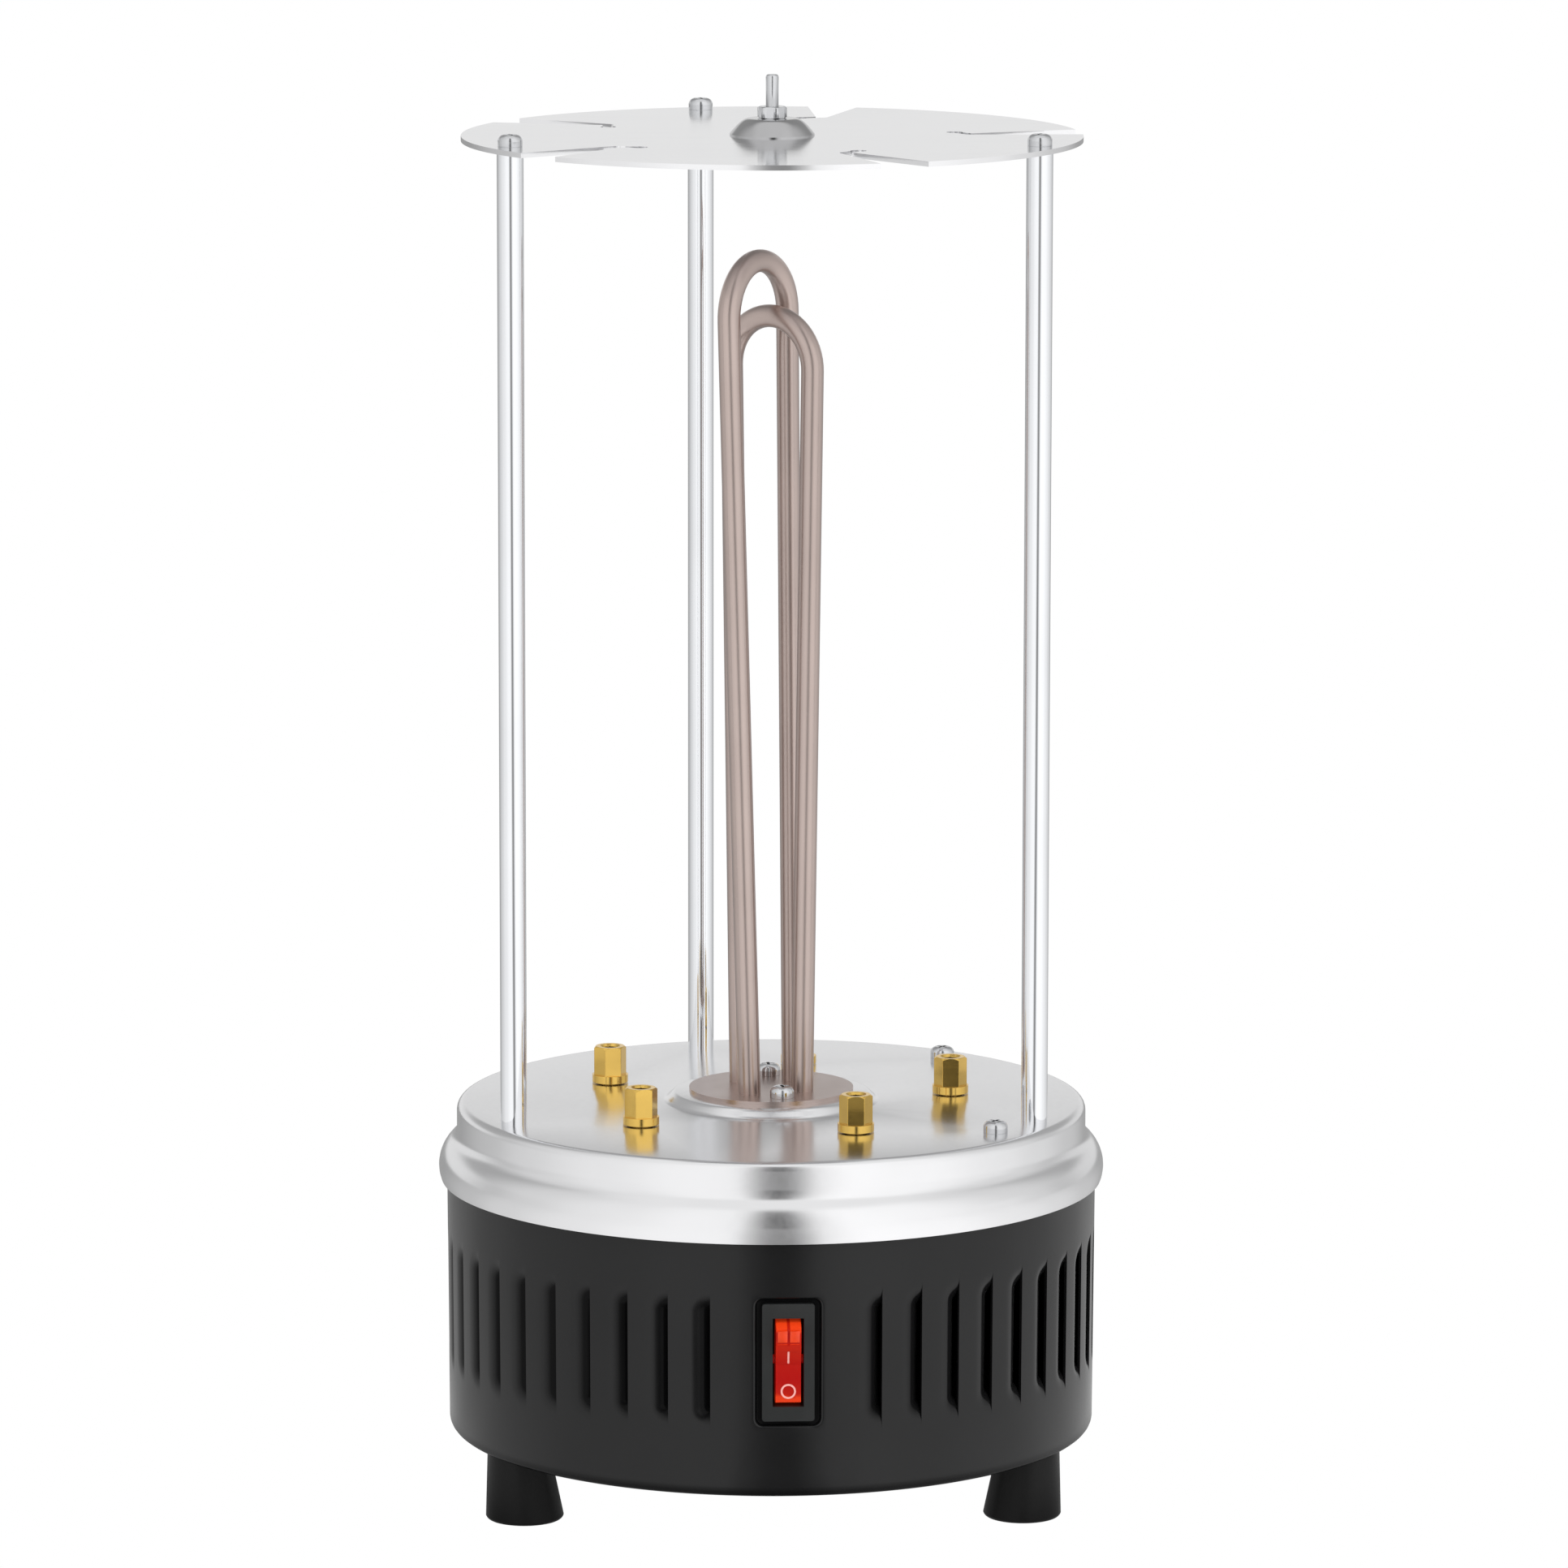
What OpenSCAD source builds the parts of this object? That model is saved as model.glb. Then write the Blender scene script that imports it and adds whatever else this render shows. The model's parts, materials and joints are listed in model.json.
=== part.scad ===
// Electric skewer grill: five brass sockets turn their skewers around an upright heater.
// Lengths are millimetres and angles are degrees. The origin is on the floor under the
// heater, +Z is up, and the switch faces -Y.

/* [Housing] */
// Outer radius of the drum at its open top
housing_r = 89.8; // [88:0.1:110]
// How much smaller the drum's radius is at its bottom
housing_draw = 0.5; // [0:0.1:2]
// Sheet thickness of the drum
housing_wall = 0.8; // [0.6:0.1:1.2]
// Outer radius of the bend between the drum's side and bottom
housing_bend_r = 3; // [2:0.5:5]
// Height from the drum's bottom to the top face of the pan
base_h = 91.5; // [85:0.5:110]

/* [Vents] */
// Number of places for louvres around the drum
vent_places = 48; // [24:1:52]
// Number of places left plain in front, at the switch
vent_left_out = 3; // [3:2:9]
// Angle from the middle of the switch to the middle place's open edge
vent_shift = 1.5; // [0:0.1:2]
// Width of a louvre, from its bent side to its open edge
vent_w = 6.6; // [4:0.1:7]
// Height of a louvre
vent_h = 39.5; // [25:0.5:42]
// Height of the louvres' middle above the drum's bottom
vent_mid_h = 37.8; // [34:0.1:42]
// How far a louvre's open edge is pressed into the drum
vent_depth = 3.2; // [1.5:0.1:3.6]

/* [Switch] */
// Width of the switch's bezel
bezel_w = 14.1; // [13.6:0.1:16]
// Height of the switch's bezel
bezel_h = 32.2; // [30:0.1:33]
// Thickness of the switch's bezel
bezel_t = 1.8; // [1:0.1:2]
// Width of the switch's moulded body behind the drum
switch_w = 12.4; // [11.6:0.1:12.8]
// Height of the switch's moulded body behind the drum
switch_h = 27; // [26:0.1:28]
// Depth of the switch's moulded body behind the drum
switch_depth = 19; // [15:0.5:25]
// Width of the window that the rocker stands in
window_w = 8.4; // [8:0.1:9]
// Height of the window that the rocker stands in
window_h = 24.3; // [24.1:0.1:25]
// Width of the rocker
rocker_w = 6.8; // [6:0.1:7.4]
// Radius of the rocker's ends about its pivot
rocker_r = 11.8; // [10:0.1:11.8]
// Angle that the rocker travels
rocker_travel = 16; // [10:1:16]
// Distance from the rocker's pivot to its faces
rocker_face = 4.6; // [4:0.1:5]
// Thickness of the rib across the rocker's upper half
rocker_rib_t = 0.3; // [0.1:0.1:0.5]
// Diameter of the rocker's pivot pins
rocker_pin_d = 2.4; // [1.8:0.1:3]
// Width of the recess pressed into the drum for the switch
pad_w = 17.5; // [17:0.1:20]
// Height of the recess pressed into the drum for the switch
pad_h = 34.8; // [34:0.1:38]
// Depth of that recess at its sides
pad_depth = 1.8; // [1.6:0.1:2.4]
// Height of the switch's middle above the drum's bottom
switch_mid_h = 37.4; // [34:0.1:42]

/* [Pan] */
// How far the pan's neck stands in from the drum's outside
pan_in = 2.8; // [1.5:0.1:5]
// Sheet thickness of the pan
pan_t = 1; // [0.8:0.1:1.2]
// Radius of the edge between the pan's top and neck
pan_edge_r = 2.4; // [1.5:0.1:3]
// How far the bead around the pan's skirt stands out from the drum
bead_out = 2.2; // [1.8:0.1:3.5]
// Radius of the bead's own curve
bead_curve_r = 9.5; // [8:0.1:11]
// Radius of the hollow between neck and bead
hollow_r = 2; // [1.5:0.1:3]
// Drop from the pan's top face to the widest line of the bead
bead_drop = 17.8; // [16:0.1:20]
// Drop from the pan's top face to the skirt's lip
pan_depth = 21.3; // [20:0.1:23]
// Height of the raised seat in the pan's middle
seat_h = 2.4; // [1:0.1:4]
// Radius of the raised seat's flat top
seat_r = 26.4; // [24:0.1:28]
// Radius of the foot of the raised seat
seat_foot_r = 30; // [28.5:0.1:33]

/* [Heater] */
// Diameter of the heater tubes
tube_d = 6.2; // [5:0.1:7]
// Gap between the tall loop's crown and the top plate
loop_gap = 29.9; // [15:0.1:80]
// How much lower the short loop's crown stands
short_loop_drop = 15.1; // [5:0.1:30]
// Bend radius of the tall loop's crown, on the tube's middle line
tall_bend_r = 15; // [13:0.1:18]
// Bend radius of the short loop's crown, on the tube's middle line
short_bend_r = 14; // [12:0.1:16]
// Angle by which each leg of the tall loop leans outwards
tall_splay = 0.98; // [0:0.02:1.2]
// Angle by which each leg of the short loop leans outwards
short_splay = 0.92; // [0:0.02:1.2]
// Direction of the tall loop's plane
tall_turn = 55; // [50:1:60]
// Direction of the short loop's plane
short_turn = -41; // [-45:1:-38]
// Lean of the tall loop
tall_lean = 1; // [0:0.1:1.5]
// Radius of the heater's flange
flange_r = 22.7; // [22:0.1:24]
// Thickness of the heater's flange
flange_t = 1.2; // [0.8:0.1:2]
// Distance from the middle to the flange's screws
flange_screw_at = 16; // [15.5:0.1:17]
// How far the tubes reach below the flange's top
cold_end = 15; // [12:0.5:20]
// Length of a ceramic end bead
bead_len = 5; // [3:0.5:8]
// Diameter of a terminal pin
pin_d = 2.4; // [2:0.1:3]
// Length of a terminal pin below its bead
pin_len = 9; // [5:0.5:12]

/* [Posts and top plate] */
// How far the posts stand in from the drum's outside
post_in = 11.8; // [10.5:0.1:13]
// Diameter of the posts
post_d = 7.2; // [6:0.1:9]
// Height of the posts
post_h = 266; // [200:1:320]
// Depth of the threaded hole in each end of a post
post_hole_depth = 14; // [10:0.5:20]
// How far the top plate's edge stands in from the drum's outside
plate_in = 5.1; // [3:0.1:7]
// Thickness of the top plate
plate_t = 1.4; // [1:0.1:2.5]
// Diameter of the holes that guide the skewers
guide_d = 4.3; // [3.5:0.1:5]
// Width of the channel from a slot into its guide hole
channel_w = 3.3; // [3:0.1:4.2]
// How far a slot's inner end lies outwards from its guide hole
slot_out = 3.2; // [2:0.1:5]
// How far a slot's inner end lies sideways from its guide hole
slot_side = 5.6; // [4:0.1:7]
// Opening angle of a slot at the rim
slot_angle = 9.6; // [6:0.1:12]
// Angle from a guide hole to its slot's middle at the rim
slot_turn = -2.6; // [-5:0.1:0]
// Base diameter of the domed washer
dome_d = 23.2; // [20:0.1:26]
// Diameter of the domed washer's flat top
dome_top_d = 12.4; // [10:0.1:15]
// Height of the domed washer
dome_h = 4.6; // [3:0.1:7]
// Wall thickness of the domed washer
dome_wall = 0.8; // [0.6:0.1:1.2]
// How far the centre bolt stands out of its nut
bolt_out = 8.7; // [5:0.1:15]
// Diameter of that free end
bolt_end_d = 3.5; // [2.5:0.1:3.8]

/* [Sockets and spindles] */
// Distance from the middle to the skewer sockets
socket_at = 50.4; // [49:0.1:53]
// Direction of the first socket
socket_turn = 6.2; // [0:0.1:10]
// Width across flats of a socket's hexagon
hex_af = 7.9; // [7:0.1:8.4]
// Height of a socket's hexagon
hex_h = 8; // [5:0.1:10]
// Diameter of a socket's collar
collar_d = 10; // [9.8:0.1:11]
// Height of a socket's collar
collar_h = 2.1; // [1.5:0.1:5]
// Diameter of the bore that takes a skewer
socket_bore_d = 4.5; // [3.5:0.1:4.9]
// Depth of the bore that takes a skewer
socket_bore_depth = 8; // [6:0.5:9.5]
// Width of the drive slot under the bore
drive_slot_w = 1.4; // [1:0.1:2]
// Depth of the drive slot under the bore
drive_slot_depth = 3; // [2:0.1:5]
// Diameter of the spindle through the pan and the gear
spindle_d = 6; // [5.6:0.1:6.4]
// Diameter of the spindle in the carrier's bush
journal_d = 5; // [4:0.1:5.2]

/* [Gear drive] */
// Teeth of the ring gear in the middle
sun_teeth = 46; // [44:1:50]
// Teeth of each spindle gear
spindle_teeth = 22; // [18:1:24]
// Teeth of the motor's pinion
pinion_teeth = 12; // [11:1:13]
// Width of the gears' teeth
gear_w = 6; // [4:0.5:7]
// Thickness taken from each tooth for play
gear_play = 0.15; // [0.1:0.01:0.3]
// Outer radius of the collar that the ring gear turns on
hub_r = 25; // [24.5:0.1:26]
// Wall thickness of that collar
hub_wall = 1.6; // [1.2:0.1:2.5]
// Radius of that collar's foot
hub_foot_r = 29.5; // [28:0.1:31]
// Thickness of that collar's foot
hub_foot_t = 1; // [0.8:0.1:1.5]

/* [Motor] */
// Diameter of the gear motor's can
motor_d = 49; // [44:0.5:52]
// Height of the gear motor's can
motor_h = 20; // [15:0.5:24]
// Distance from the can's middle to its shaft
shaft_offset = 6; // [5:0.5:9]
// Diameter of the motor's shaft
shaft_d = 6; // [5:0.1:7]
// How far each mounting screw stands out from the can
ear_out = 5.5; // [4.5:0.5:8]
// Direction of the line through the mounting ears, from the radius through the shaft
ear_turn = 45; // [30:5:60]
// Thickness of the mounting ears
ear_t = 1.2; // [1:0.1:2]

/* [Carrier] */
// How far the carrier plate's edge stands in from the drum's outside
carrier_in = 6.8; // [6:0.1:7.8]
// Thickness of the carrier plate
carrier_t = 1.5; // [1:0.1:2]
// Gap between the pan's sheet and the carrier plate
carrier_gap = 12; // [11:0.1:13]
// How far the carrier's screws stand in from the drum's outside
carrier_screw_in = 13.8; // [12:0.1:15]
// Diameter of the spacer sleeves
sleeve_d = 7; // [6.5:0.1:8]

/* [Feet] */
// Height of the feet
foot_h = 19.7; // [15:0.1:30]
// Diameter of a foot where it meets the drum
foot_top_d = 17; // [16:0.1:20]
// Diameter of a foot on the floor
foot_bottom_d = 21.6; // [20:0.1:26]
// Angle by which a foot leans inwards
foot_lean = 5.5; // [3:0.5:7]
// Rounding around a foot's bottom edge
foot_round = 1.6; // [0.5:0.1:3]
// Diameter of the recess in a foot for its nut
foot_recess_d = 10.4; // [10:0.1:12]
// Depth of the recess in a foot for its nut
foot_recess_depth = 9; // [7:0.5:12]

/* [Fasteners] */
// Nominal thread diameter
thread_d = 4; // [3:0.1:4]
// Diameter of the screw heads
head_d = 6.7; // [6.4:0.1:8]
// Height of the screw heads
head_h = 3.2; // [2:0.1:4]
// Length of each slot of the cross in a screw head
cross_l = 3.6; // [2:0.1:4.4]
// Width of each slot of the cross in a screw head
cross_w = 0.8; // [0.5:0.1:1]
// Depth of the cross in a screw head
cross_depth = 1.3; // [0.5:0.1:1.8]
// Width across flats of the nuts
nut_af = 7; // [6.5:0.1:7.5]
// Height of the nuts
nut_h = 3.2; // [2.5:0.1:4]
// Diameter of the plain washers
washer_d = 9; // [8:0.1:10]
// Thickness of the plain washers
washer_t = 0.8; // [0.5:0.1:1.2]

/* [Cable entry and terminals] */
// Diameter of the cable grommet's neck in the drum's wall
grommet_neck_d = 9.5; // [8:0.1:12]
// Diameter of the cable grommet's flanges
grommet_d = 13; // [12:0.1:15]
// Thickness of the cable grommet's flanges
grommet_flange_t = 1.6; // [1:0.1:2]
// Diameter of the hole through the cable grommet
grommet_bore_d = 6.6; // [5:0.1:7]
// Height of the cable grommet above the drum's bottom
grommet_up = 9.5; // [8.5:0.1:10]
// Length of the terminal block
block_l = 34; // [28:0.5:40]
// Width of the terminal block
block_w = 17; // [14:0.5:20]
// Height of the terminal block
block_h = 14; // [12:0.5:18]
// Distance from the middle to the terminal block
block_at = 46; // [40:0.5:55]
// Direction of the terminal block
block_turn = 160; // [150:1:165]

/* [Fits] */
// Radial clearance of a shaft that turns in a bush
run_fit = 0.05; // [0.02:0.01:0.1]
// Gap between faces that move past each other
move_gap = 0.3; // [0.2:0.05:0.5]
// Radial clearance of a screw in its hole
hole_fit = 0.2; // [0.1:0.05:0.4]
// Radial clearance of a heater leg in the pan
leg_fit = 0.8; // [0.5:0.1:1.2]
// Radial clearance of a thread in its nut or tapped hole
thread_fit = 0.05; // [0.02:0.01:0.1]

/* [Hidden] */
$fn = 64;
fine = 128;
// Overrun of cuts past a face
over = 1;
half_turn = 180;
// Direction of the switch
front = -90;
arc_steps = 8;
flank_steps = 4;

socket_count = 5;
// The motor stands between this socket and the next
motor_side = 1;
post_turns = [202.6, 334.3, 101.9];
carrier_screw_turns = [47.4, 320.4];
flange_screw_turns = [277.9, 90];
centre_nut_turn = 10;
socket_turns = [for (i = [0:socket_count - 1]) socket_turn + i * 360 / socket_count];
half_socket_step = half_turn / socket_count;
// How each socket's hexagon stands at rest
hex_turns = [57.6, 33, 9.8, 9.5, 57];

// How far a thread stands out of its nut
thread_out = 1;
// Room left between the end of a thread and the bottom of its hole
thread_room = 2;
screw_hole_d = thread_d + 2 * hole_fit;
tapped_d = thread_d + 2 * thread_fit;
// Share of a screw head's height that stands straight
head_side_share = 0.45;

drum_bottom = foot_h;
pan_top = drum_bottom + base_h;
pan_under = pan_top - pan_t;
seat_top = pan_top + seat_h;
flange_top = seat_top + flange_t;
plate_under = pan_top + post_h;
plate_top = plate_under + plate_t;

pan_r = housing_r - pan_in;
bead_r = housing_r + bead_out;
post_at = housing_r - post_in;
plate_r = housing_r - plate_in;
carrier_r = housing_r - carrier_in;
carrier_screw_at = housing_r - carrier_screw_in;

bead_z = pan_top - bead_drop;
bead_mid_r = bead_r - bead_curve_r;
hollow_mid_r = pan_r + hollow_r;
hollow_z = bead_z + sqrt(pow(bead_curve_r + hollow_r, 2) - pow(hollow_mid_r - bead_mid_r, 2));
bead_turn = atan2(hollow_z - bead_z, hollow_mid_r - bead_mid_r);
lip_turn = -asin((pan_depth - bead_drop) / bead_curve_r);
// The drum's top edge stops just under the inside of the bead
drum_top = bead_z + sqrt(pow(bead_curve_r - pan_t - move_gap, 2) - pow(housing_r - bead_mid_r, 2));
drum_bottom_r = housing_r - housing_draw;
drum_draw_angle = atan(housing_draw / (drum_top - drum_bottom));

vent_step = 360 / vent_places;
vent_first = (vent_left_out + 1) / 2;
vent_mid_r = drum_bottom_r + housing_draw * vent_mid_h / (drum_top - drum_bottom);
// Each louvre is placed by its bent side
vent_turns = [for (i = [vent_first:vent_places - vent_first])
    front + vent_shift + i * vent_step - atan(vent_w / vent_mid_r)];
louvre_bend_r = (pow(vent_w, 2) + pow(vent_depth, 2)) / (2 * vent_depth);

foot_in = 1;
rod_bottom = foot_recess_depth - washer_t - nut_h - thread_out;
rod_top = pan_top + post_hole_depth - thread_room;

tall_loop_h = plate_under - flange_top - loop_gap;
short_loop_h = tall_loop_h - short_loop_drop;
// Heights of the middles of the loops' crowns above the flange
tall_mid_z = tall_loop_h - tall_bend_r - tube_d / 2;
short_mid_z = short_loop_h - short_bend_r - tube_d / 2;
leg_places = concat(
    [for (turn = [tall_turn, tall_turn + half_turn])
        leg_at(tall_mid_z, tall_bend_r, tall_splay) * [cos(turn), sin(turn), 0]],
    [for (turn = [short_turn, short_turn + half_turn])
        leg_at(short_mid_z, short_bend_r, short_splay) * [cos(turn), sin(turn), 0]]);

carrier_top = pan_under - carrier_gap;
carrier_under = carrier_top - carrier_t;
// Sizes of the round holes that let cooling air through the carrier
air_hole_d = 12;
air_hole_at = [38.5, 63];

bush_wall = 1;
bush_flange_out = 2;
bush_flange_t = 1.2;
bush_d = spindle_d + 2 * bush_wall;
bush_flange_d = bush_d + 2 * bush_flange_out;
journal_shoulder = carrier_top + bush_flange_t + move_gap;
lower_bush_drop = 2;
clip_t = 0.8;
clip_out = 2;
groove_depth = 0.6;
clip_top = carrier_under - lower_bush_drop - move_gap;
clip_d = journal_d + 2 * clip_out;
groove_d = journal_d - 2 * groove_depth;
spindle_end_l = 1.6;
spindle_end = clip_top - clip_t - spindle_end_l;

hub_pan_gap = 1;
hub_groove = 0.8;
ring_clip_t = 1;
ring_clip_mouth = 6;
hub_top = pan_under - hub_pan_gap;
ring_clip_bottom = hub_top - 2 * ring_clip_t;
sun_bottom = carrier_top + hub_foot_t + move_gap;
sun_top = ring_clip_bottom - move_gap;
gear_bottom = sun_top - gear_w;

// The gears' pitch circles touch, so the sockets' distance sets the size of the teeth
gear_module = 2 * socket_at / (sun_teeth + spindle_teeth);
pinion_at = gear_module * (sun_teeth + pinion_teeth) / 2;
pinion_turn = socket_turns[motor_side] + half_socket_step;
pressure_angle = 20;
ear_at = motor_d / 2 + ear_out;
ear_edge = 1;
// The gearbox holds the wider can clear of the spindles' lower ends
gearbox_share = 0.84;
gearbox_h = carrier_under - spindle_end + move_gap;
addendum_share = 0.8;
dedendum_share = 1.25;

hex_ac = hex_af / cos(30);
collar_bottom = pan_top + move_gap;
socket_top = collar_bottom + collar_h + hex_h;

pad_y = sqrt(pow(housing_r, 2) - pow(pad_w / 2, 2)) - pad_depth;
pad_round_r = 2;
switch_z = drum_bottom + switch_mid_h;
bezel_round_r = 0.8;
catch_h = 1.2;
catch_l = 8;
catch_w = 4;
rocker_sink = 0.3;
rocker_pivot_y = bezel_t - rocker_face - rocker_sink;
rocker_cavity = 9;
rocker_pin_l = 1;
// Outline of the rocker, as shares of its radius
rocker_back_share = 0.6;
rocker_rib_from_share = 0.36;
rocker_rib_to_share = 0.52;
rocker_end_drop_share = 0.08;
tab_w = 4.8;
tab_t = 0.8;
tab_l = 8;

block_screw_in = 5;
block_screw_x = block_l / 2 - block_screw_in;
block_floor = block_h / 3;
cell_count = 4;
grommet_bevel = 1;

// Points along an arc
function arc(middle, r, from, to, steps = arc_steps) =
    [for (i = [0:steps]) let (a = from + (to - from) * i / steps) middle + r * [cos(a), sin(a)]];

function reversed(list) = [for (i = [len(list) - 1:-1:0]) list[i]];

// A smooth step down from z1 at r1 to z2 at r2
function soft_step(r1, z1, r2, z2, steps = arc_steps) =
    [for (i = [0:steps]) let (s = i / steps) [r1 + (r2 - r1) * s, z1 + (z2 - z1) * (1 - cos(180 * s)) / 2]];

// Places children at a distance from the middle, in the direction of an angle
module around(r, turn, z = 0) {
    rotate([0, 0, turn]) translate([r, 0, z]) children();
}

// A straight tube or washer
module tube(outer, inner, h) {
    difference() {
        cylinder(r = outer, h = h);
        translate([0, 0, -over]) cylinder(r = inner, h = h + 2 * over);
    }
}

// A flat shape with rounded corners, centred
module rounded_rect(w, h, r) {
    union() {
        square([w - 2 * r, h], center = true);
        square([w, h - 2 * r], center = true);
        for (x = [-1, 1], y = [-1, 1]) translate([x * (w / 2 - r), y * (h / 2 - r)]) circle(r = r);
    }
}

// A hole down through a sheet whose top face is at z
module sheet_hole(d, z, t) {
    translate([0, 0, z - t - over]) cylinder(d = d, h = t + 2 * over);
}

module hex_nut() {
    difference() {
        intersection() {
            cylinder(d = nut_af / cos(30), h = nut_h, $fn = 6);
            translate([0, 0, nut_h / 2]) rotate_extrude() nut_turning();
        }
        sheet_hole(tapped_d, nut_h, nut_h);
    }
}

// The turned shape that bevels a nut's corners
module nut_turning() {
    corner = nut_af / cos(30) / 2;
    bevel = corner - nut_af / 2;
    polygon([[0, -nut_h / 2], [corner - bevel, -nut_h / 2], [corner + bevel / 2, -nut_h / 2 + bevel],
             [corner + bevel / 2, nut_h / 2 - bevel], [corner - bevel, nut_h / 2], [0, nut_h / 2]]);
}

// A pan head with a cross, sitting on z = 0 over a shank of the given length
module pan_screw(shank) {
    shoulder = head_h * head_side_share;
    round_r = head_h - shoulder;
    difference() {
        union() {
            rotate_extrude() polygon(concat(
                [[0, 0], [head_d / 2, 0]],
                arc([head_d / 2 - round_r, shoulder], round_r, 0, 90),
                [[0, head_h]]));
            translate([0, 0, -shank]) cylinder(d = thread_d, h = shank);
        }
        for (turn = [0, 90]) rotate([0, 0, turn])
            translate([-cross_l / 2, -cross_w / 2, head_h - cross_depth])
            cube([cross_l, cross_w, cross_depth + over]);
    }
}

// Involute gear teeth

// Angle that an involute has turned where it reaches radius r
function involute_turn(base, r) =
    r <= base ? 0 : let (roll = sqrt(pow(r / base, 2) - 1)) roll * 180 / PI - atan(roll);

// Half the angle that a tooth spans at radius r
function tooth_half(pitch, base, teeth, r) =
    90 / teeth - (gear_play / 2) / pitch * 180 / PI + involute_turn(base, pitch) - involute_turn(base, r);

module gear_outline(teeth) {
    pitch = gear_module * teeth / 2;
    base = pitch * cos(pressure_angle);
    tip = pitch + gear_module * addendum_share;
    root = pitch - gear_module * dedendum_share;
    start = max(base, root);
    flank = [for (k = [0:flank_steps]) start + (tip - start) * k / flank_steps];
    radii = start > root ? concat([root], flank) : flank;
    last = len(radii) - 1;
    polygon([for (i = [0:teeth - 1], side = [-1, 1], k = [0:last])
        let (r = radii[side < 0 ? k : last - k],
             a = i * 360 / teeth + side * tooth_half(pitch, base, teeth, max(r, start)))
        r * [cos(a), sin(a)]]);
}

// Turn of a gear so that it meshes with the ring gear at rest
function mesh_turn(direction, teeth) = direction + 180 + direction * sun_teeth / teeth + 180 / teeth;

// Housing

module drum_profile() {
    inner_bend = housing_bend_r - housing_wall;
    polygon(concat(
        [[0, drum_bottom]],
        arc([drum_bottom_r - housing_bend_r, drum_bottom + housing_bend_r], housing_bend_r, -90, 0),
        [[housing_r, drum_top], [housing_r - housing_wall, drum_top]],
        arc([drum_bottom_r - housing_bend_r, drum_bottom + housing_bend_r], inner_bend, 0, -90),
        [[0, drum_bottom + housing_wall]]));
}

// A louvre's outline from outside, from its bent side at x = 0 to its open edge
module louvre_shape() {
    intersection() {
        union() {
            translate([0, vent_w - vent_h / 2]) square([vent_w, vent_h - 2 * vent_w]);
            for (y = [-1, 1]) translate([vent_w, y * (vent_h / 2 - vent_w)]) circle(r = vent_w);
        }
        translate([0, -vent_h / 2]) square([vent_w, vent_h]);
    }
}

// Places children at the outside of the drum, x outwards and y along the drum
module at_louvre(turn) {
    rotate([0, 0, turn]) translate([vent_mid_r, 0, drum_bottom + vent_mid_h])
        rotate([0, drum_draw_angle, 0]) children();
}

// The sheet of a louvre, curving inwards from its bent side
module louvre_blade() {
    intersection() {
        translate([-louvre_bend_r, 0, -vent_h / 2])
            tube(louvre_bend_r, louvre_bend_r - housing_wall, vent_h);
        translate([-louvre_bend_r, 0, 0]) rotate([90, 0, 90])
            linear_extrude(louvre_bend_r + over) louvre_shape();
    }
}

// The pressed recess and its floor, with y outwards from the floor's face
module at_switch() {
    translate([0, -pad_y, switch_z]) rotate([0, 0, 180]) children();
}

// An upright outline, standing out by h from the recess's floor
module upright(h) {
    rotate([90, 0, 180]) linear_extrude(h) children();
}

module housing() {
    color([0.09, 0.09, 0.1])
    difference() {
        union() {
            difference() {
                rotate_extrude($fn = fine) drum_profile();
                for (turn = vent_turns) at_louvre(turn) translate([-vent_w, 0, 0])
                    rotate([90, 0, 90]) linear_extrude(2 * vent_w) louvre_shape();
            }
            for (turn = vent_turns) at_louvre(turn) louvre_blade();
            // The recess's floor and sides stay inside the drum's outer face
            intersection() {
                at_switch() translate([0, -housing_wall, 0]) upright(housing_wall + 2 * pad_depth)
                    rounded_rect(pad_w + 2 * housing_wall, pad_h + 2 * housing_wall,
                                 pad_round_r + housing_wall);
                translate([0, 0, drum_bottom])
                    cylinder(r1 = drum_bottom_r, r2 = housing_r, h = drum_top - drum_bottom, $fn = fine);
            }
        }
        at_switch() upright(2 * pad_depth + over) rounded_rect(pad_w, pad_h, pad_round_r);
        at_switch() translate([0, -pad_depth - housing_wall, 0]) upright(2 * pad_depth + 2 * housing_wall)
            square([switch_w + 2 * hole_fit, switch_h + 2 * hole_fit], center = true);
        for (turn = post_turns) around(post_at, turn)
            sheet_hole(screw_hole_d, drum_bottom + housing_wall, housing_wall);
        around(block_at, block_turn) rotate([0, 0, 90]) for (x = [-1, 1])
            translate([x * block_screw_x, 0, 0]) sheet_hole(tapped_d, drum_bottom + housing_wall, housing_wall);
        grommet_place() cylinder(d = grommet_neck_d, h = grommet_d, center = true);
    }
}

// Pan

module pan_profile() {
    polygon(concat(
        [[0, seat_top]],
        soft_step(seat_r, seat_top, seat_foot_r, pan_top),
        arc([pan_r - pan_edge_r, pan_top - pan_edge_r], pan_edge_r, 90, 0),
        arc([hollow_mid_r, hollow_z], hollow_r, half_turn, half_turn + bead_turn),
        arc([bead_mid_r, bead_z], bead_curve_r, bead_turn, lip_turn, 2 * arc_steps),
        arc([bead_mid_r, bead_z], bead_curve_r - pan_t, lip_turn, bead_turn, 2 * arc_steps),
        arc([hollow_mid_r, hollow_z], hollow_r + pan_t, half_turn + bead_turn, half_turn),
        arc([pan_r - pan_edge_r, pan_top - pan_edge_r], pan_edge_r - pan_t, 0, 90),
        reversed(soft_step(seat_r, seat_top - pan_t, seat_foot_r, pan_under)),
        [[0, seat_top - pan_t]]));
}

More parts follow.
